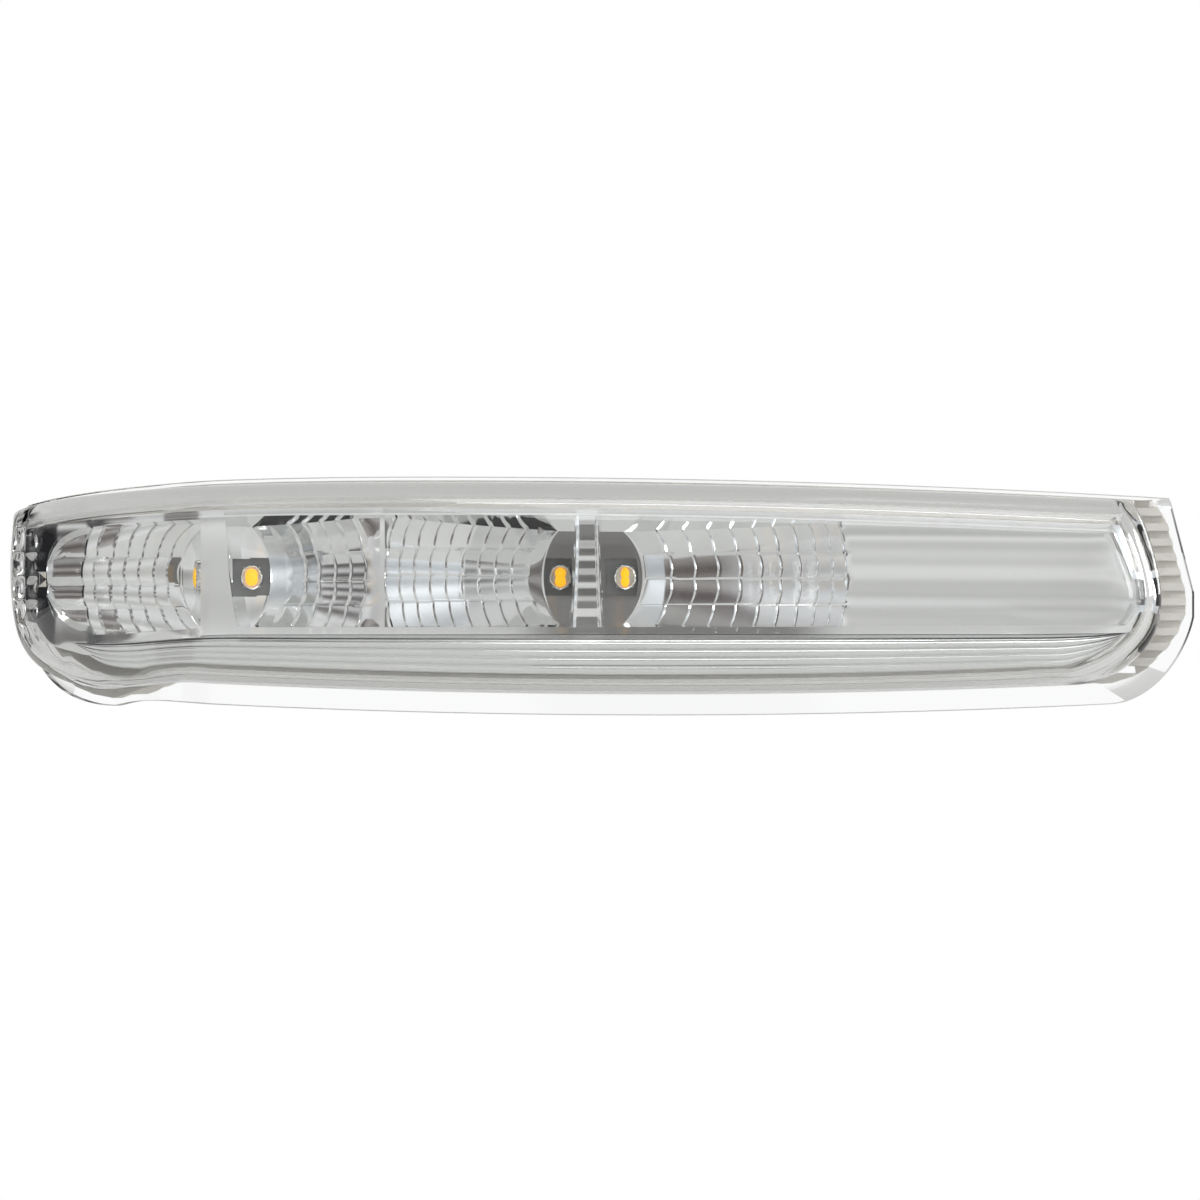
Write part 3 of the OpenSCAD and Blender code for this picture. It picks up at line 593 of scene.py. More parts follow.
class LAMP_OT_reflector(bpy.types.Operator):
    """Metallised reflector: a lip that follows the front, four stepped cells and a ribbed apron"""
    bl_idname = "lamp.reflector"
    bl_label = "Reflector"

    led_z = 3.2                             # height of the LEDs
    above_led = 10.4                        # from there to the top of the opening
    roof_slant = math.tan(math.radians(9))  # draft of the cells' roofs
    nose = (-84.0, 2.9, 7.9, 9.3)           # start of the opening's round end, its middle, width, half height
    nose_power = 2.3                        # squareness of that end
    inner_end = 92.4                        # inner end of the lip and the last cell
    riser_l = 0.36                          # length of each step's riser
    window_reach = 3.2                      # half height of the LEDs' windows
    near_wall = 0.3                         # thickness of the walls beside the LEDs
    clear = 0.05                            # from the lip to the opening
    proud = 0.03                            # from the lip to the cells' rims behind it
    chamfer_w = 0.7                         # width of the columns' chamfers

    def execute(self, context):
        s = context.scene.lamp_sizes
        form = LampForm(s)
        metal = metal_material(context.scene.lamp_colours)
        self.lip_d = s.lip_d
        self.window_top = self.led_z + self.above_led
        self.window_bottom = self.window_top - s.window_h - 0.2
        floor_y = node_box("main_board")[0][1] - s.reflector_wall - 0.3
        plans = self.plans(s)
        for plan in plans:
            solid = self.cell(form, plan, floor_y)
            solid.piece("reflector_" + plan.name, metal, "metallised", ["reflector"], 24)
        self.lip(form, plans, metal)
        self.apron(form, metal)
        return {"FINISHED"}

    def plans(self, s):
        """The four cells: cell 1 in the wrapped end, cells 2 and 3 with a ridge between them, and cell 4, which
        ends in the smooth part at the inner end."""
        led_x = {i: (node_box(f"led_{i}")[0][0] + node_box(f"led_{i}")[1][0]) / 2 for i in (2, 3, 4)}
        face_1 = node_box("led_1")[0][0]
        side_board = node_box("side_board")[1][0]
        ridge = -35.6
        return (
            CellPlan(
                "cell_1", face_1, -1, near_x=face_1 + 0.5, far_x=self.nose[0] - self.nose[2],
                end_x=-92.0, end_d=s.lip_d - 2.1, bowl=0.018,
                rings=(3.4, 5.4, 7.6, 10.1, 12.5, 14.9, 17.6, 19.6, 25.6), rows=(-2.1, 1.9, 6.7)),
            CellPlan(
                "cell_2", led_x[2], 1, near_x=side_board + 1.8, far_x=ridge - 0.4, far_wall=0.35,
                end_x=ridge, end_d=s.lip_d + 1.6, bowl=0.006, window=(3.2, 3.2), flare=1.8,
                rings=(6.5, 9.1, 11.4, 14.1, 16.7, 19.2), rows=(-1.4, 2.6, 7.3)),
            CellPlan(
                "cell_3", led_x[3], -1, near_x=led_x[3] + 2.4, far_x=ridge + 0.4, far_wall=0.35,
                end_x=ridge, end_d=s.lip_d + 1.6, bowl=0.012, window=(1.9, 2.8), flare=0.6, flat=True,
                rings=(5.4, 8.1, 10.8, 13.5, 16.3, 19.0, 21.6, 24.2, 26.6, 29.0), rows=(-0.8, 3.6, 8.0)),
            CellPlan(
                "cell_4", led_x[4], 1, near_x=led_x[4] - 4.2, far_x=self.inner_end,
                end_x=41.5, end_d=s.lip_d + 6, window=(3.2, 2.2), flare=0.6, flat=True, smooth_end=True,
                rings=(3.7, 7.8, 11.7, 15.5, 19.1, 22.6, 25.8, 29.0, 31.9, 34.4, 36.8), rows=(-1.4, 3.0, 7.3)),
        )

    def lip_depth(self, x):
        """Depth of the lip at x: constant, and shallower where the lip turns round the nose."""
        return mix(self.lip_d, 3.0, ease((self.nose[0] - x) / 9))

    def lip_y(self, form, x):
        """Y of the lip at x."""
        return form.y_at(x, self.lip_depth(x))

    def sink(self, x):
        """How much lower the bottom edges lie at x: up to 1.25 mm, eased in over 26 mm towards the nose."""
        return 1.25 * ease((-60 - x) / 26)

    def near_edge(self, plan, z):
        """X of the wall beside a cell's LED: it flares from the column towards the bottom, by f^1.8."""
        f = clip((self.window_top - z) / (self.window_top - self.window_bottom))
        return plan.near_x + plan.side * plan.flare * f ** 1.8

    def far_edge(self, plan, z):
        """X of the wall at a cell's other end, the same at each height."""
        return np.full_like(z, plan.far_x)

    def outline_z(self, form, x):
        """Lowest and highest z of the reflector's opening at x. It is straight, sinks a little to the left,
        and ends in a superellipse, |dx/w|^p + |dz/h|^p = 1, at the nose and in the lens's outline on the
        right."""
        count = 900
        t = np.linspace(0.001, 0.999, count)
        inset = 0.6 + form.s.reflector_wall
        top = form.inside(t, np.full(count, True), form.s.lip_d, inset)
        bottom = form.inside(t, np.full(count, False), form.s.lip_d, inset)
        left, mid, wide, tall = self.nose
        straight_top = self.window_top - 0.9 * ease((-66 - x) / 20)
        high = np.minimum(np.interp(x, top[::-1, 0], top[::-1, 2]), straight_top)
        low = np.maximum(np.interp(x, bottom[::-1, 0], bottom[::-1, 2]), self.window_bottom - self.sink(x))
        arc = tall * (1 - clip((left - x) / wide) ** self.nose_power) ** (1 / self.nose_power)
        on_nose = x < left
        low = np.where(on_nose, np.maximum(low, mid - arc), low)
        high = np.where(on_nose, np.minimum(high, mid + arc), high)
        return np.minimum(low, mid - 0.05), np.maximum(high, mid + 0.05)

    def columns(self, plan):
        """Places along a cell, outwards from its LED's side: radius from the LED, and share of the step, which
        is -1 before the first ring. Each step is a land and then a riser. Also the reach of both ends."""
        near = abs(plan.near_x - plan.led_x)
        reach = abs(plan.far_x - plan.led_x)
        rho = np.linspace(-near, plan.rings[0], 28)[:-1]
        if plan.window:
            rho = np.unique(np.concatenate([rho, self.window_span(plan, near)]))
        rho, share = [rho], [np.full(len(rho), -1.0)]
        land = np.linspace(0, 1, 9)
        for start, end in zip(plan.rings[:-1], plan.rings[1:]):
            riser = self.riser_l / (end - start)
            rho.append(start + (end - start) * np.concatenate([land * (1 - riser), [1 - riser / 2, 0.996]]))
            share.append(np.concatenate([land, [0.5, 0.0]]))
        last = plan.rings[-1]
        tail = np.linspace(last, reach, max(3, int((reach - last) / 0.6)))
        rho.append(tail)
        share.append(np.full(len(tail), 0.0))
        return np.concatenate(rho), np.concatenate(share), near, reach

    def window_span(self, plan, near):
        """Where the LED's window starts and ends along the cell. It keeps off the near wall."""
        back, ahead = plan.window
        return -min(back, near - self.near_wall), ahead

    def facets(self, s, plan, z):
        """Crown and tilt of the rows of facets at height z. The crown is 1 - (2q - 1)², where q is the share of
        the row's height, and the tilt is facet_tilt times the distance from the row's middle."""
        edges = np.array([self.window_bottom - 2, *plan.rows, self.window_top + 0.5])
        q, tilt = np.zeros_like(z), np.zeros_like(z)
        for low, high in zip(edges[:-1], edges[1:]):
            here = (z >= low) & (z < high)
            q = np.where(here, (z - low) / (high - low), q)
            tilt = np.where(here, s.facet_tilt * (z - (low + high) / 2), tilt)
        return 1 - (2 * q - 1) ** 2, tilt

    def cell(self, form, plan, floor_y):
        """A cell is one sheet. Along it, the height above the floor rises as the share of the way to its end
        to the power 1.1, and each step's land rises by step_h more and drops back over its riser. Rings bow
        by R - sqrt(R² - dz²), where R grows from ring to ring, and by 0.32 mm more in each facet's middle. The
        facets are crowned and tilted. Steps bowl by dz² near the LED, and where the cell isn't flat there,
        its floor rises by 0.08 of the way as well. The smooth end goes back by 0.075 of the way, with slow
        waves along it. Nothing stands past the lip."""
        s = form.s
        rho, share, near, reach = self.columns(plan)
        first, last = plan.rings[0], plan.rings[-1]
        after = rho > last + 0.01
        end_r = abs(plan.end_x - plan.led_x)
        end_y = float(form.y_at(plan.end_x, plan.end_d))
        far_frac = clip((rho - 3.0) / (end_r - 3.0)) ** 1.1
        base = floor_y + (end_y - floor_y) * far_frac
        step = np.where(share >= 0, share, 0) * s.step_h

        x_mid = plan.led_x + plan.side * rho
        z_low, z_high = self.outline_z(form, x_mid)
        behind_lip = np.maximum(base - self.lip_y(form, x_mid), 0)
        roof = np.minimum(z_high, self.window_top - behind_lip * self.roof_slant)
        z = z_low + (roof - z_low) * np.linspace(0, 1, 81)[:, None]
        dz = z - self.led_z

        crown, tilt = self.facets(s, plan, z)
        on_steps = ((rho >= first - 0.01) & ~after) * ease((end_r + 2 - rho) / 4)
        radius = np.maximum(8.2 + 0.72 * np.maximum(rho, 3.6), 10.9)
        sag = radius - np.sqrt(np.maximum(radius ** 2 - dz ** 2, 0.5))
        bow = clip((rho + near) / (first + near))
        straighten = np.where(after, ease((reach - rho) / max(reach - last, 0.1)), 1)
        x = plan.led_x + plan.side * (rho - sag * bow * straighten + 0.32 * crown * on_steps)
        edge = self.near_edge(plan, z)
        x = np.clip(x, edge, plan.far_x) if plan.side > 0 else np.clip(x, plan.far_x, edge)

        bowl = plan.bowl * dz ** 2 * (1 - far_frac)
        if plan.flat:
            bowl *= ease((rho - first + 3) / 5)
        y = base - step - bowl + (tilt - s.facet_h * crown) * on_steps
        if plan.smooth_end:
            wave = np.sin(z * 0.7 + 0.4) + 0.2 * np.sin(z * 1.9 + 1 + 0.015 * x)
            y += (0.075 * (rho - end_r) - 0.032 * wave) * after
        if not plan.flat:
            y -= 0.08 * np.minimum(rho + near, first + near) * (1 - far_frac)
        y = np.maximum(y, self.lip_y(form, x) + 0.02)

        front = self.tub(form, np.stack([x, y, z], axis=-1), z_low, z_high)
        back = self.outside(form, front, plan)
        keep = self.solid_part(plan, rho, near, z)
        if plan.side < 0:
            front, back, keep = front[:, ::-1], back[:, ::-1], keep[:, ::-1]
        solid = Solid()
        solid.slab(front, back, keep)
        return solid

    def solid_part(self, plan, rho, near, z):
        """Mask of the cell's grid squares, border included, that aren't in the LED's window."""
        keep = np.ones((z.shape[0] + 1, z.shape[1] + 1), bool)
        if plan.window:
            start, end = self.window_span(plan, near)
            mid = (rho[1:] + rho[:-1]) / 2
            z_mid = (z[1:, :-1] + z[:-1, :-1]) / 2
            beside = np.abs(z_mid - self.led_z) < self.window_reach
            keep[1:-1, 1:-1] = ~(((mid > start) & (mid < end))[None, :] & beside)
        return keep

    def tub(self, form, surface, z_low, z_high):
        """The sheet with its four walls: a border of points at the lip's depth is added all round."""
        bottom, top = surface[:1].copy(), surface[-1:].copy()
        for edge, z in ((bottom, z_low), (top, z_high)):
            edge[0, :, 1] = self.lip_y(form, edge[0, :, 0])
            edge[0, :, 2] = z
        grid = np.concatenate([bottom, surface, top])
        left, right = grid[:, :1].copy(), grid[:, -1:].copy()
        for edge in (left, right):
            edge[:, 0, 1] = self.lip_y(form, edge[:, 0, 0])
        return np.concatenate([left, grid, right], axis=1)

    def outside(self, form, front, plan):
        """The tub's outer side: moved back by the wall inside the border, and outwards along the borders, whose
        rims follow the front."""
        wall = form.s.reflector_wall
        back = front.copy()
        back[1:-1, 1:-1, 1] += wall
        back[:2, :, 2] -= wall
        back[-2:, :, 2] += wall
        back[:, :2, 0] -= self.near_wall * plan.side
        back[:, -2:, 0] += plan.far_wall * plan.side
        for column in (0, -1):
            back[:, column, 1] = self.lip_y(form, back[:, column, 0])
        return back

    def lip(self, form, plans, metal):
        """Lip round the cells' opening, from the opening's outline to the inside of the lens: along the top,
        round the nose, where both outlines are matched by their angle about the nose's middle, and back
        along the bottom strip. The columns between the cells stand at the same depth. All of it stands a
        little in front of the cells' rims and keeps a little off the opening, so that no two faces lie in
        one plane."""
        s = form.s
        left, mid, wide, tall = self.nose
        t = np.concatenate([np.linspace(0.012, 0.86, 420), np.linspace(0.86, 0.9995, 160)[1:]])
        t, up = np.concatenate([t, t[::-1]]), np.repeat([True, False], len(t))
        outer = form.inside(t, up, s.lip_d, 0.5)
        outer = form.inside(t, up, self.lip_depth(outer[:, 0]), 0.5)
        keep = outer[:, 0] <= self.inner_end
        outer, up = outer[keep], up[keep]
        low, high = self.outline_z(form, outer[:, 0])
        under = self.window_bottom - s.reflector_wall - self.sink(outer[:, 0])

        angle = np.arctan2(outer[:, 2] - mid, left - outer[:, 0])
        p = self.nose_power
        r = (np.abs(np.cos(angle) / wide) ** p + np.abs(np.sin(angle) / tall) ** p) ** (-1 / p) + self.clear
        on_nose = outer[:, 0] < left
        inner_x = np.where(on_nose, left - r * np.cos(angle), outer[:, 0])
        edge_z = np.where(up, np.minimum(high + self.clear, outer[:, 2] - 0.05), low - self.clear)
        inner_z = np.where(on_nose, mid + r * np.sin(angle), edge_z)
        inner = np.stack([inner_x, self.lip_y(form, inner_x), inner_z], axis=-1)

        strip = ~up & ~on_nose
        outer[strip, 2] = np.maximum(outer[strip, 2], np.minimum(under[strip], low[strip] - 0.1))
        outer[:, 1] = np.where(strip, form.y_at(outer[:, 0], s.lip_d), outer[:, 1])
        outer[:, 1] += np.where(up & ~on_nose, 0.12, 0)
        f = np.linspace(0, 1, 14)[:, None]
        x, z = mix(inner[:, 0], outer[:, 0], f), mix(inner[:, 2], outer[:, 2], f)
        y = np.where(on_nose, self.lip_y(form, x), mix(inner[:, 1], outer[:, 1], f))
        solid = Solid()
        self.sheet(solid, np.stack([x, y - self.proud, z], axis=-1), s.reflector_wall)

        cell_1, cell_2, cell_3, cell_4 = plans
        self.sheet(solid, self.column(form, self.near_edge, cell_1, cell_2, 0, 0), s.reflector_wall)
        self.sheet(solid, self.column(form, self.far_edge, cell_2, cell_3, 0, 0), s.reflector_wall)
        self.sheet(solid, self.column(form, self.near_edge, cell_3, cell_4, 0.28, 0.05), s.reflector_wall)
        solid.piece("reflector_lip", metal, "metallised", ["reflector"], 30)

    def column(self, form, edge, left, right, hollow, ripple):
        """Face of the column between two cells, from one's edge to the other's. It is hollow mm deeper between
        its chamfers, and crossed by slow waves, ripple sin(1.4 z + 0.5)."""
        u = np.linspace(0, 1, 41)
        middle = np.array([self.led_z])
        low, high = self.outline_z(form, mix(edge(left, middle), edge(right, middle), u))
        z = mix(low - 2 * self.clear, high + 2 * self.clear, np.linspace(0, 1, 61)[:, None])
        x0, x1 = edge(left, z[:, :1]) + self.clear, edge(right, z[:, :1]) - self.clear
        x = mix(x0, x1, u)
        rims = hollow * clip(np.minimum(u, 1 - u) * (x1 - x0) / self.chamfer_w)
        y = form.y_at(x, form.s.lip_d) - 0.7 * self.proud + rims + ripple * np.sin(z * 1.4 + 0.5)
        return np.stack([x, y, z], axis=-1)

    def sheet(self, solid, grid, wall):
        """Adds a sheet whose front is the grid and whose back lies a wall's thickness behind it."""
        back = grid.copy()
        back[..., 1] += wall
        solid.slab(grid, back)

    def apron(self, form, metal):
        """Stepped apron below the opening. From the lip strip down to the lens it goes back by 3 f^1.3, with a
        groove under the strip, exp(-((f - 0.07) / 0.05)²), and four half-round ribs, |sin|, that follow the
        lens. f is the share of the way down. Its lower edge is evened out near the wrapped end."""
        s = form.s
        t = np.linspace(0.008, 0.985, 430)
        edge = form.inside(t, np.full(len(t), False), s.lip_d + 4.5, 0.6)
        near = 30
        mean = np.full(2 * near + 1, 1 / (2 * near + 1))
        smooth = np.convolve(np.pad(edge[:, 2], near, "edge"), mean, "valid")
        evened = mix(edge[:, 2], smooth, ease((-40 - edge[:, 0]) / 20))
        keep = edge[:, 0] > -89
        x, low = edge[keep, 0], np.maximum(edge[:, 2], evened)[keep]
        high = self.window_bottom - s.reflector_wall - self.sink(x)
        f = np.linspace(0, 1, 110)[:, None]
        z = mix(high, np.minimum(low, high - 0.1), f)
        ribs = 0.6 * np.abs(np.sin(math.pi * 4 * clip((f - 0.18) / 0.82))) ** 0.7
        groove = 1.6 * np.exp(-((f - 0.07) / 0.05) ** 2)
        depth = s.lip_d + 0.2 + 3.0 * f ** 1.3 + groove - ribs
        y = form.y_at(x[None, :] + 0 * f, 0) + depth
        solid = Solid()
        self.sheet(solid, np.stack([np.broadcast_to(x, y.shape), y, z], axis=-1), s.reflector_wall)
        solid.piece("reflector_apron", metal, "metallised", ["reflector"], 50)


class LAMP_OT_housing(bpy.types.Operator):
    """Finish of the grey housing: tray and rim plate, bosses, peg, socket, posts and the ribs at the inner end"""
    bl_idname = "lamp.housing"
    bl_label = "Housing"

    def execute(self, context):
        coat("housing", housing_material(context.scene.lamp_colours))
        return {"FINISHED"}


class LAMP_OT_circuit(bpy.types.Operator):
    """Circuit boards, LED packages, their amber faces and rims, the chips, pins, terminals and screws"""
    bl_idname = "lamp.circuit"
    bl_label = "Circuit"

    # Half width, half height and waist of each LED's amber face.
    amber_outlines = ((0.9, 1.5, 0.04), (1.2, 1.45, 0.14), (1.15, 1.58, 0.34), (0.85, 1.6, 0.36))
    rim_profile = ((1.42, 0), (1.44, 0.28), (1.55, 0.45), (1.7, 0.42), (1.83, 0.22), (1.86, -0.1), (1.86, -1.7))

    def execute(self, context):
        colours = context.scene.lamp_colours
        amber = amber_with_painted_glow(colours)
        silver = plain_material("led_rim", [0.84, 0.84, 0.82], 0.16, metallic=0.85, strength=0.7, fine=1300)
        looks = {
            "circuit_board": plain_material("circuit_board", list(colours.board), 0.35, strength=0.08, fine=900),
            "led_body": plain_material("led_body", [0.8, 0.8, 0.76], 0.4),
            "chip_black": plain_material("chip_black", [0.03, 0.03, 0.033], 0.45),
            "chip_tan": plain_material("chip_tan", [0.42, 0.3, 0.18], 0.4),
            "tinned_metal": plain_material("tinned_metal", [0.72, 0.71, 0.68], 0.3, metallic=1.0),
            "membrane": plain_material("membrane", [0.82, 0.82, 0.8], 0.8, strength=0.4, fine=3500),
            "amber_phosphor": amber,
        }
        slots = {p["node"]: p["material_slot"] for p in frame["record"]["subparts"]}
        for name in frame["nodes"]:
            if slots[name] in looks:
                coat(name, looks[slots[name]])
        for number, outline in enumerate(self.amber_outlines, 1):
            self.amber_face(number, *outline, amber)
            self.silver_rim(number, silver)
        return {"FINISHED"}

    def axis(self, number):
        """Axis that an LED faces along: X for LED 1, in the wrapped end, and Y for the others."""
        return 0 if number == 1 else 1

    def facing(self, number, mid, start, profile, steps, squash):
        """Solid turned about an LED's axis through mid, whose profile's heights count ahead from start."""
        centre, axis = mid.copy(), self.axis(number)
        centre[axis] = start[axis]
        solid = Solid()
        solid.turned(centre, [(r, -h) for r, h in profile], steps, "xy"[axis], squash)
        return solid

    def silver_rim(self, number, material):
        """Bright raised rim round an LED's amber face: turned about the LED's axis, 1.15 times as tall as wide, and
        uneven by two sines of the angle. It goes down to the board beside the package."""
        low, high = node_box(f"led_{number}")
        mid = (low + high) / 2

        def squash(t):
            uneven = 1 + 0.02 * np.sin(5 * t + number) + 0.015 * np.sin(11 * t)
            return uneven / np.hypot(np.cos(t), np.sin(t) / 1.15)

        solid = self.facing(number, mid, low + 0.05, self.rim_profile, 96, squash)
        solid.piece(f"led_rim_{number}", material, "led_body", (), 60)

    def amber_face(self, number, wide, tall, waist, amber):
        """Amber face of an LED: a low dome over an ellipse, whose radius is 1 - waist cos(t)^6 times as long, so
        that it is narrowest at its middle."""
        low, high = node_box(f"emitter_{number}")
        mid = (low + high) / 2
        height = (high - low)[self.axis(number)]

        def squash(t):
            oval = wide * tall / np.hypot(tall * np.cos(t), wide * np.sin(t))
            return oval * (1 - waist * np.cos(t) ** 6)

        lift = np.linspace(0, 1, 7)
        profile = [(1.0, 0)] + [(math.sqrt(max(1 - f * f, 0.0004)) * 0.98, f * height) for f in lift]
        solid = self.facing(number, mid, high, profile, 64, squash)
        solid.piece(f"amber_face_{number}", amber, "amber_phosphor", [f"emitter_{number}"], 60)


class Surroundings:
    """Brightness of a world by direction, as nodes. A world's Generated coordinates are the direction."""

    def __init__(self, tree):
        self.nodes, self.links = tree.nodes, tree.links
        self.nodes.clear()
        place = self.nodes.new("ShaderNodeTexCoord")
        self.axes = self.nodes.new("ShaderNodeSeparateXYZ")
        self.links.new(place.outputs["Generated"], self.axes.inputs["Vector"])
        self.height = self.nodes.new("ShaderNodeMapRange")
        self.height.inputs["From Min"].default_value = -1
        self.links.new(self.axes.outputs["Z"], self.height.inputs["Value"])

    def ramp(self, stops):
        """Colour over the direction's Z, from stops of Z, red, green and blue."""
        node = self.nodes.new("ShaderNodeValToRGB")
        node.color_ramp.interpolation = "EASE"
        elements = node.color_ramp.elements
        elements[0].position, elements[1].position = (stops[0][0] + 1) / 2, (stops[-1][0] + 1) / 2
        for z, *_ in stops[1:-1]:
            elements.new((z + 1) / 2)
        for element, (z, red, green, blue) in zip(elements, stops):
            element.position = (z + 1) / 2
            element.color = (red, green, blue, 1)
        self.links.new(self.height.outputs["Result"], node.inputs["Fac"])
        return node.outputs["Color"]

    def mask(self, axis, start, end):
        """Mask that rises smoothly from 0 to 1 where the axis goes from start to end."""
        node = self.nodes.new("ShaderNodeMapRange")
        node.interpolation_type = "SMOOTHSTEP"
        node.inputs["From Min"].default_value = start
        node.inputs["From Max"].default_value = end
        self.links.new(self.axes.outputs[axis], node.inputs["Value"])
        return node.outputs["Result"]

    def band(self, axis, outer, inner):
        """Mask that is 1 where the axis is within inner of 0, and 0 past outer."""
        return self.times(self.mask(axis, -outer, -inner), self.mask(axis, outer, inner))

    def times(self, one, two):
        """Product of two masks."""
        node = self.nodes.new("ShaderNodeMath")
        node.operation = "MULTIPLY"
        self.links.new(one, node.inputs[0])
        self.links.new(two, node.inputs[1])
        return node.outputs["Value"]

    def blend(self, factor, one, two):
        """Colour between one and two by a mask. Each is a colour or an output."""
        node = self.nodes.new("ShaderNodeMix")
        node.data_type = "RGBA"
        self.links.new(factor, node.inputs["Factor"])
        for value, socket in ((one, "A"), (two, "B")):
            if isinstance(value, tuple):
                node.inputs[socket].default_value = value
            else:
                self.links.new(value, node.inputs[socket])
        return node.outputs["Result"]

    def fill(self, colour):
        """Puts the colour into the world, with plain white for the camera."""
        around = self.nodes.new("ShaderNodeBackground")
        self.links.new(colour, around.inputs["Color"])
        plain = self.nodes.new("ShaderNodeBackground")
        plain.inputs["Color"].default_value = (1, 1, 1, 1)
        rays = self.nodes.new("ShaderNodeLightPath")
        choose = self.nodes.new("ShaderNodeMixShader")
        out = self.nodes.new("ShaderNodeOutputWorld")
        self.links.new(rays.outputs["Is Camera Ray"], choose.inputs["Fac"])
        self.links.new(around.outputs["Background"], choose.inputs[1])
        self.links.new(plain.outputs["Background"], choose.inputs[2])
        self.links.new(choose.outputs["Shader"], out.inputs["Surface"])


class LAMP_OT_studio(bpy.types.Operator):
    """Pale floor, soft surroundings with darker bands, three soft lamps, and the camera of the photograph"""
    bl_idname = "lamp.studio"
    bl_label = "Studio"

    def execute(self, context):
        self.camera(context)
        self.world(context)
        self.floor()
        self.lights(context)
        return {"FINISHED"}

    def camera(self, context):
        """Camera straight ahead of the lamp and far away. The lamp's length, in the plane of its front, would fill
        a little more than the picture, and the ends, which lie further back, just fit."""
        size = 1200                            # pixels of the photograph each way
        span, mid_x, mid_y = 1210, 597, 596.5  # pixels that the lamp would fill, and where its middle is
        lamp_l, front_y = 0.2, -0.037          # in metres
        width = lamp_l * size / span
        distance = 1.6
        data = bpy.data.cameras.new("camera")
        data.lens = 85
        data.sensor_width = data.lens * width / distance
        data.sensor_height = data.sensor_width
        data.clip_end = 20
        camera = bpy.data.objects.new("camera", data)
        context.scene.collection.objects.link(camera)
        camera.location = (
            (size / 2 - mid_x) / size * width,
            front_y - distance,
            (mid_y - size / 2) / size * width,
        )
        camera.rotation_euler = (math.radians(90), 0, 0)
        context.scene.camera = camera

    def world(self, context):
        """Soft surroundings by direction. Behind the lamp they are pale grey, darker towards the top and white
        straight behind. In front they are grey bands, with dark bands, light ones and stripes towards the left
        and a bright side on the right. A dark spot lies straight ahead and a dark flag on the left, beside
        and behind the lamp. The camera sees plain white."""
        world = bpy.data.worlds.new("studio")
        context.scene.world = world
        world.use_nodes = True
        sky = Surroundings(world.node_tree)

        middle = sky.ramp((
            (-1, 0.8, 0.8, 0.79), (-0.3, 0.52, 0.52, 0.51), (-0.12, 0.8, 0.8, 0.8), (-0.03, 0.56, 0.56, 0.55),
            (0.07, 0.78, 0.78, 0.77), (0.16, 0.5, 0.5, 0.49), (0.3, 0.78, 0.78, 0.79), (0.55, 0.6, 0.6, 0.59),
            (1, 0.52, 0.52, 0.51)))
        brown = sky.ramp((
            (-1, 0.6, 0.6, 0.59), (-0.35, 0.33, 0.31, 0.3), (-0.2, 0.13, 0.11, 0.105), (-0.1, 0.3, 0.28, 0.27),
            (-0.02, 0.12, 0.1, 0.095), (0.07, 0.36, 0.34, 0.33), (0.15, 0.12, 0.1, 0.1),
            (0.28, 0.35, 0.34, 0.33), (0.45, 0.15, 0.15, 0.15), (1, 0.5, 0.5, 0.5)))
        light = sky.ramp((
            (-1, 0.8, 0.8, 0.79), (-0.3, 0.6, 0.6, 0.61), (-0.12, 0.74, 0.74, 0.74), (0.02, 0.54, 0.54, 0.54),
            (0.12, 0.74, 0.75, 0.77), (0.25, 0.56, 0.56, 0.56), (0.4, 0.8, 0.8, 0.8), (1, 0.5, 0.5, 0.5)))
        striped = sky.ramp((
            (-1, 0.8, 0.8, 0.79), (-0.45, 0.2, 0.19, 0.18), (-0.25, 0.7, 0.69, 0.68), (-0.1, 0.12, 0.11, 0.11),
            (0.0, 0.7, 0.7, 0.7), (0.08, 0.11, 0.1, 0.1), (0.17, 0.7, 0.7, 0.7), (0.26, 0.13, 0.11, 0.11),
            (0.37, 0.8, 0.8, 0.8), (0.5, 0.25, 0.25, 0.26), (1, 0.55, 0.55, 0.54)))
        bright = sky.ramp((
            (-1, 0.8, 0.8, 0.8), (-0.4, 0.5, 0.53, 0.56), (-0.2, 1.1, 1.15, 1.2), (0.0, 0.6, 0.63, 0.67),
            (0.15, 1.2, 1.25, 1.3), (0.4, 0.6, 0.62, 0.65), (0.6, 0.8, 0.8, 0.8), (1, 0.55, 0.55, 0.54)))

        spot = sky.times(sky.band("X", 0.13, 0.08), sky.band("Z", 0.13, 0.08))
        front = sky.blend(spot, middle, (0.17, 0.165, 0.16, 1))
        front = sky.blend(sky.times(sky.mask("X", -0.36, -0.42), sky.mask("Y", -0.6, -0.68)), front, brown)
        front = sky.blend(sky.mask("X", -0.67, -0.69), front, light)
        front = sky.blend(sky.mask("X", -0.84, -0.9), front, striped)
        front = sky.blend(sky.mask("X", 0.4, 0.6), front, bright)
        behind = sky.blend(sky.mask("Y", 0.98, 0.995), (0.68, 0.68, 0.67, 1), (1, 1, 1, 1))
        behind = sky.blend(sky.mask("Z", 0.1, 0.6), behind, (0.55, 0.55, 0.54, 1))
        whole = sky.blend(sky.mask("Y", 0.02, 0.2), front, behind)
        flag = sky.times(sky.times(sky.mask("X", -0.3, -0.42), sky.mask("Y", -0.2, -0.06)), sky.band("Z", 0.4, 0.3))
        sky.fill(sky.blend(flag, whole, (0.02, 0.02, 0.022, 1)))

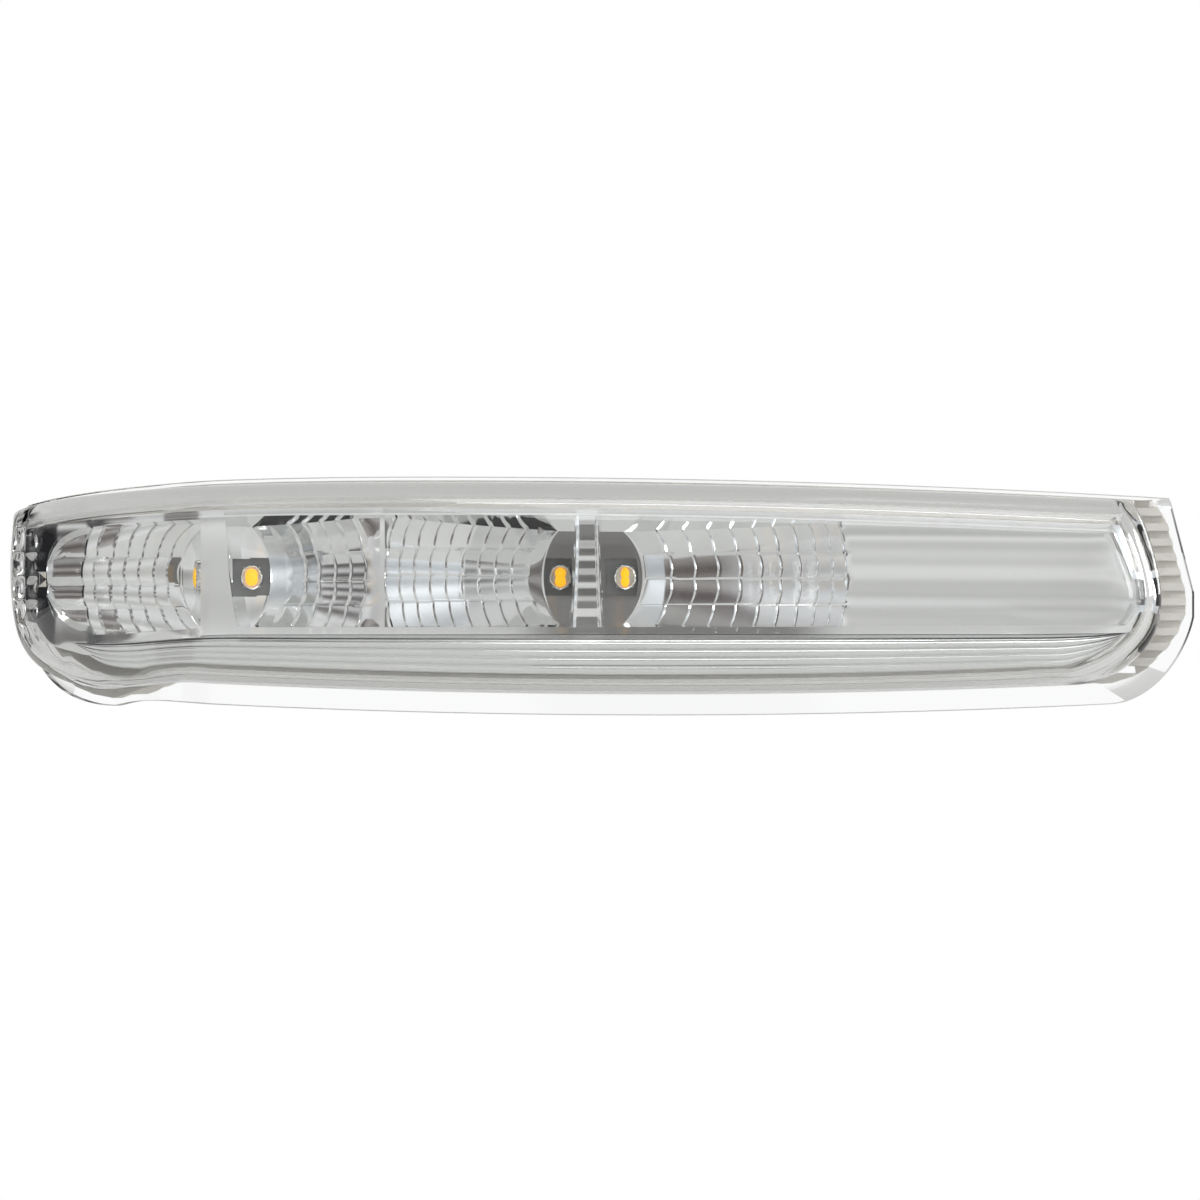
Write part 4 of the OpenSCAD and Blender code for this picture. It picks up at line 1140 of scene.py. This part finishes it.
    def floor(self):
        """Pale floor under the lamp, bright enough to read as white, that keeps the lamp's shadow."""
        mesh = bpy.data.meshes.new("floor")
        half = 0.5
        z = -0.06
        mesh.from_pydata([(-half, -half, z), (half, -half, z), (half, half, z), (-half, half, z)], [], [(0, 1, 2, 3)])
        floor = bpy.data.objects.new("floor", mesh)
        bpy.context.scene.collection.objects.link(floor)
        material, shader, tree = new_material("floor_paper")
        shader.inputs["Base Color"].default_value = (0.8, 0.8, 0.79, 1)
        shader.inputs["Roughness"].default_value = 0.9
        rays = tree.nodes.new("ShaderNodeLightPath")
        glow = tree.nodes.new("ShaderNodeMath")
        glow.operation = "MULTIPLY"
        glow.inputs[1].default_value = 0.5
        tree.links.new(rays.outputs["Is Camera Ray"], glow.inputs[0])
        tree.links.new(glow.outputs["Value"], shader.inputs["Emission Strength"])
        shader.inputs["Emission Color"].default_value = (1, 1, 1, 1)
        mesh.materials.append(material)

    def lights(self, context):
        """Soft lamps: a large one above in front, one in front on the right and one behind on the right."""
        for name, place, aim, size, power in (
            ("key_soft", (0.25, -0.8, 1.0), (0, 0, 0), (0.9, 0.6), 5.5),
            ("right_soft", (0.9, -0.9, 0.15), (0.05, 0, 0), (0.2, 0.3), 1.2),
            ("back_soft", (1.0, 0.9, 0.25), (0, 0, 0), (0.5, 0.4), 3.5),
        ):
            data = bpy.data.lights.new(name, "AREA")
            data.shape = "RECTANGLE"
            data.size, data.size_y = size
            data.energy = power
            lamp = bpy.data.objects.new(name, data)
            context.scene.collection.objects.link(lamp)
            lamp.location = place
            away = np.array(place) - np.array(aim)
            pitch = math.atan2(math.hypot(away[0], away[1]), away[2])
            heading = math.atan2(away[0], -away[1])
            lamp.rotation_euler = (pitch, 0, heading)


class LAMP_PT_panel(bpy.types.Panel):
    """Sidebar panel that lists the lamp's pieces"""
    bl_label = "Side Repeater Lamp"
    bl_idname = "LAMP_PT_panel"
    bl_space_type = "VIEW_3D"
    bl_region_type = "UI"
    bl_category = "Lamp"

    def draw(self, context):
        for operator in OPERATORS:
            self.layout.operator(operator.bl_idname)
        for group in (context.scene.lamp_sizes, context.scene.lamp_colours):
            for name in group.__annotations__:
                self.layout.prop(group, name)


OPERATORS = (LAMP_OT_lens, LAMP_OT_reflector, LAMP_OT_housing, LAMP_OT_circuit, LAMP_OT_studio)
CLASSES = (LampSizes, LampColours, *OPERATORS, LAMP_PT_panel)


def register():
    for cls in CLASSES:
        bpy.utils.register_class(cls)
    bpy.types.Scene.lamp_sizes = PointerProperty(type=LampSizes)
    bpy.types.Scene.lamp_colours = PointerProperty(type=LampColours)


def unregister():
    del bpy.types.Scene.lamp_colours
    del bpy.types.Scene.lamp_sizes
    for cls in reversed(CLASSES):
        bpy.utils.unregister_class(cls)


def main():
    register()
    bpy.context.scene.view_settings.view_transform = "Standard"
    bpy.ops.lamp.studio()
    bpy.ops.lamp.lens()
    bpy.ops.lamp.reflector()
    bpy.ops.lamp.housing()
    bpy.ops.lamp.circuit()


if __name__ == "__main__":
    main()
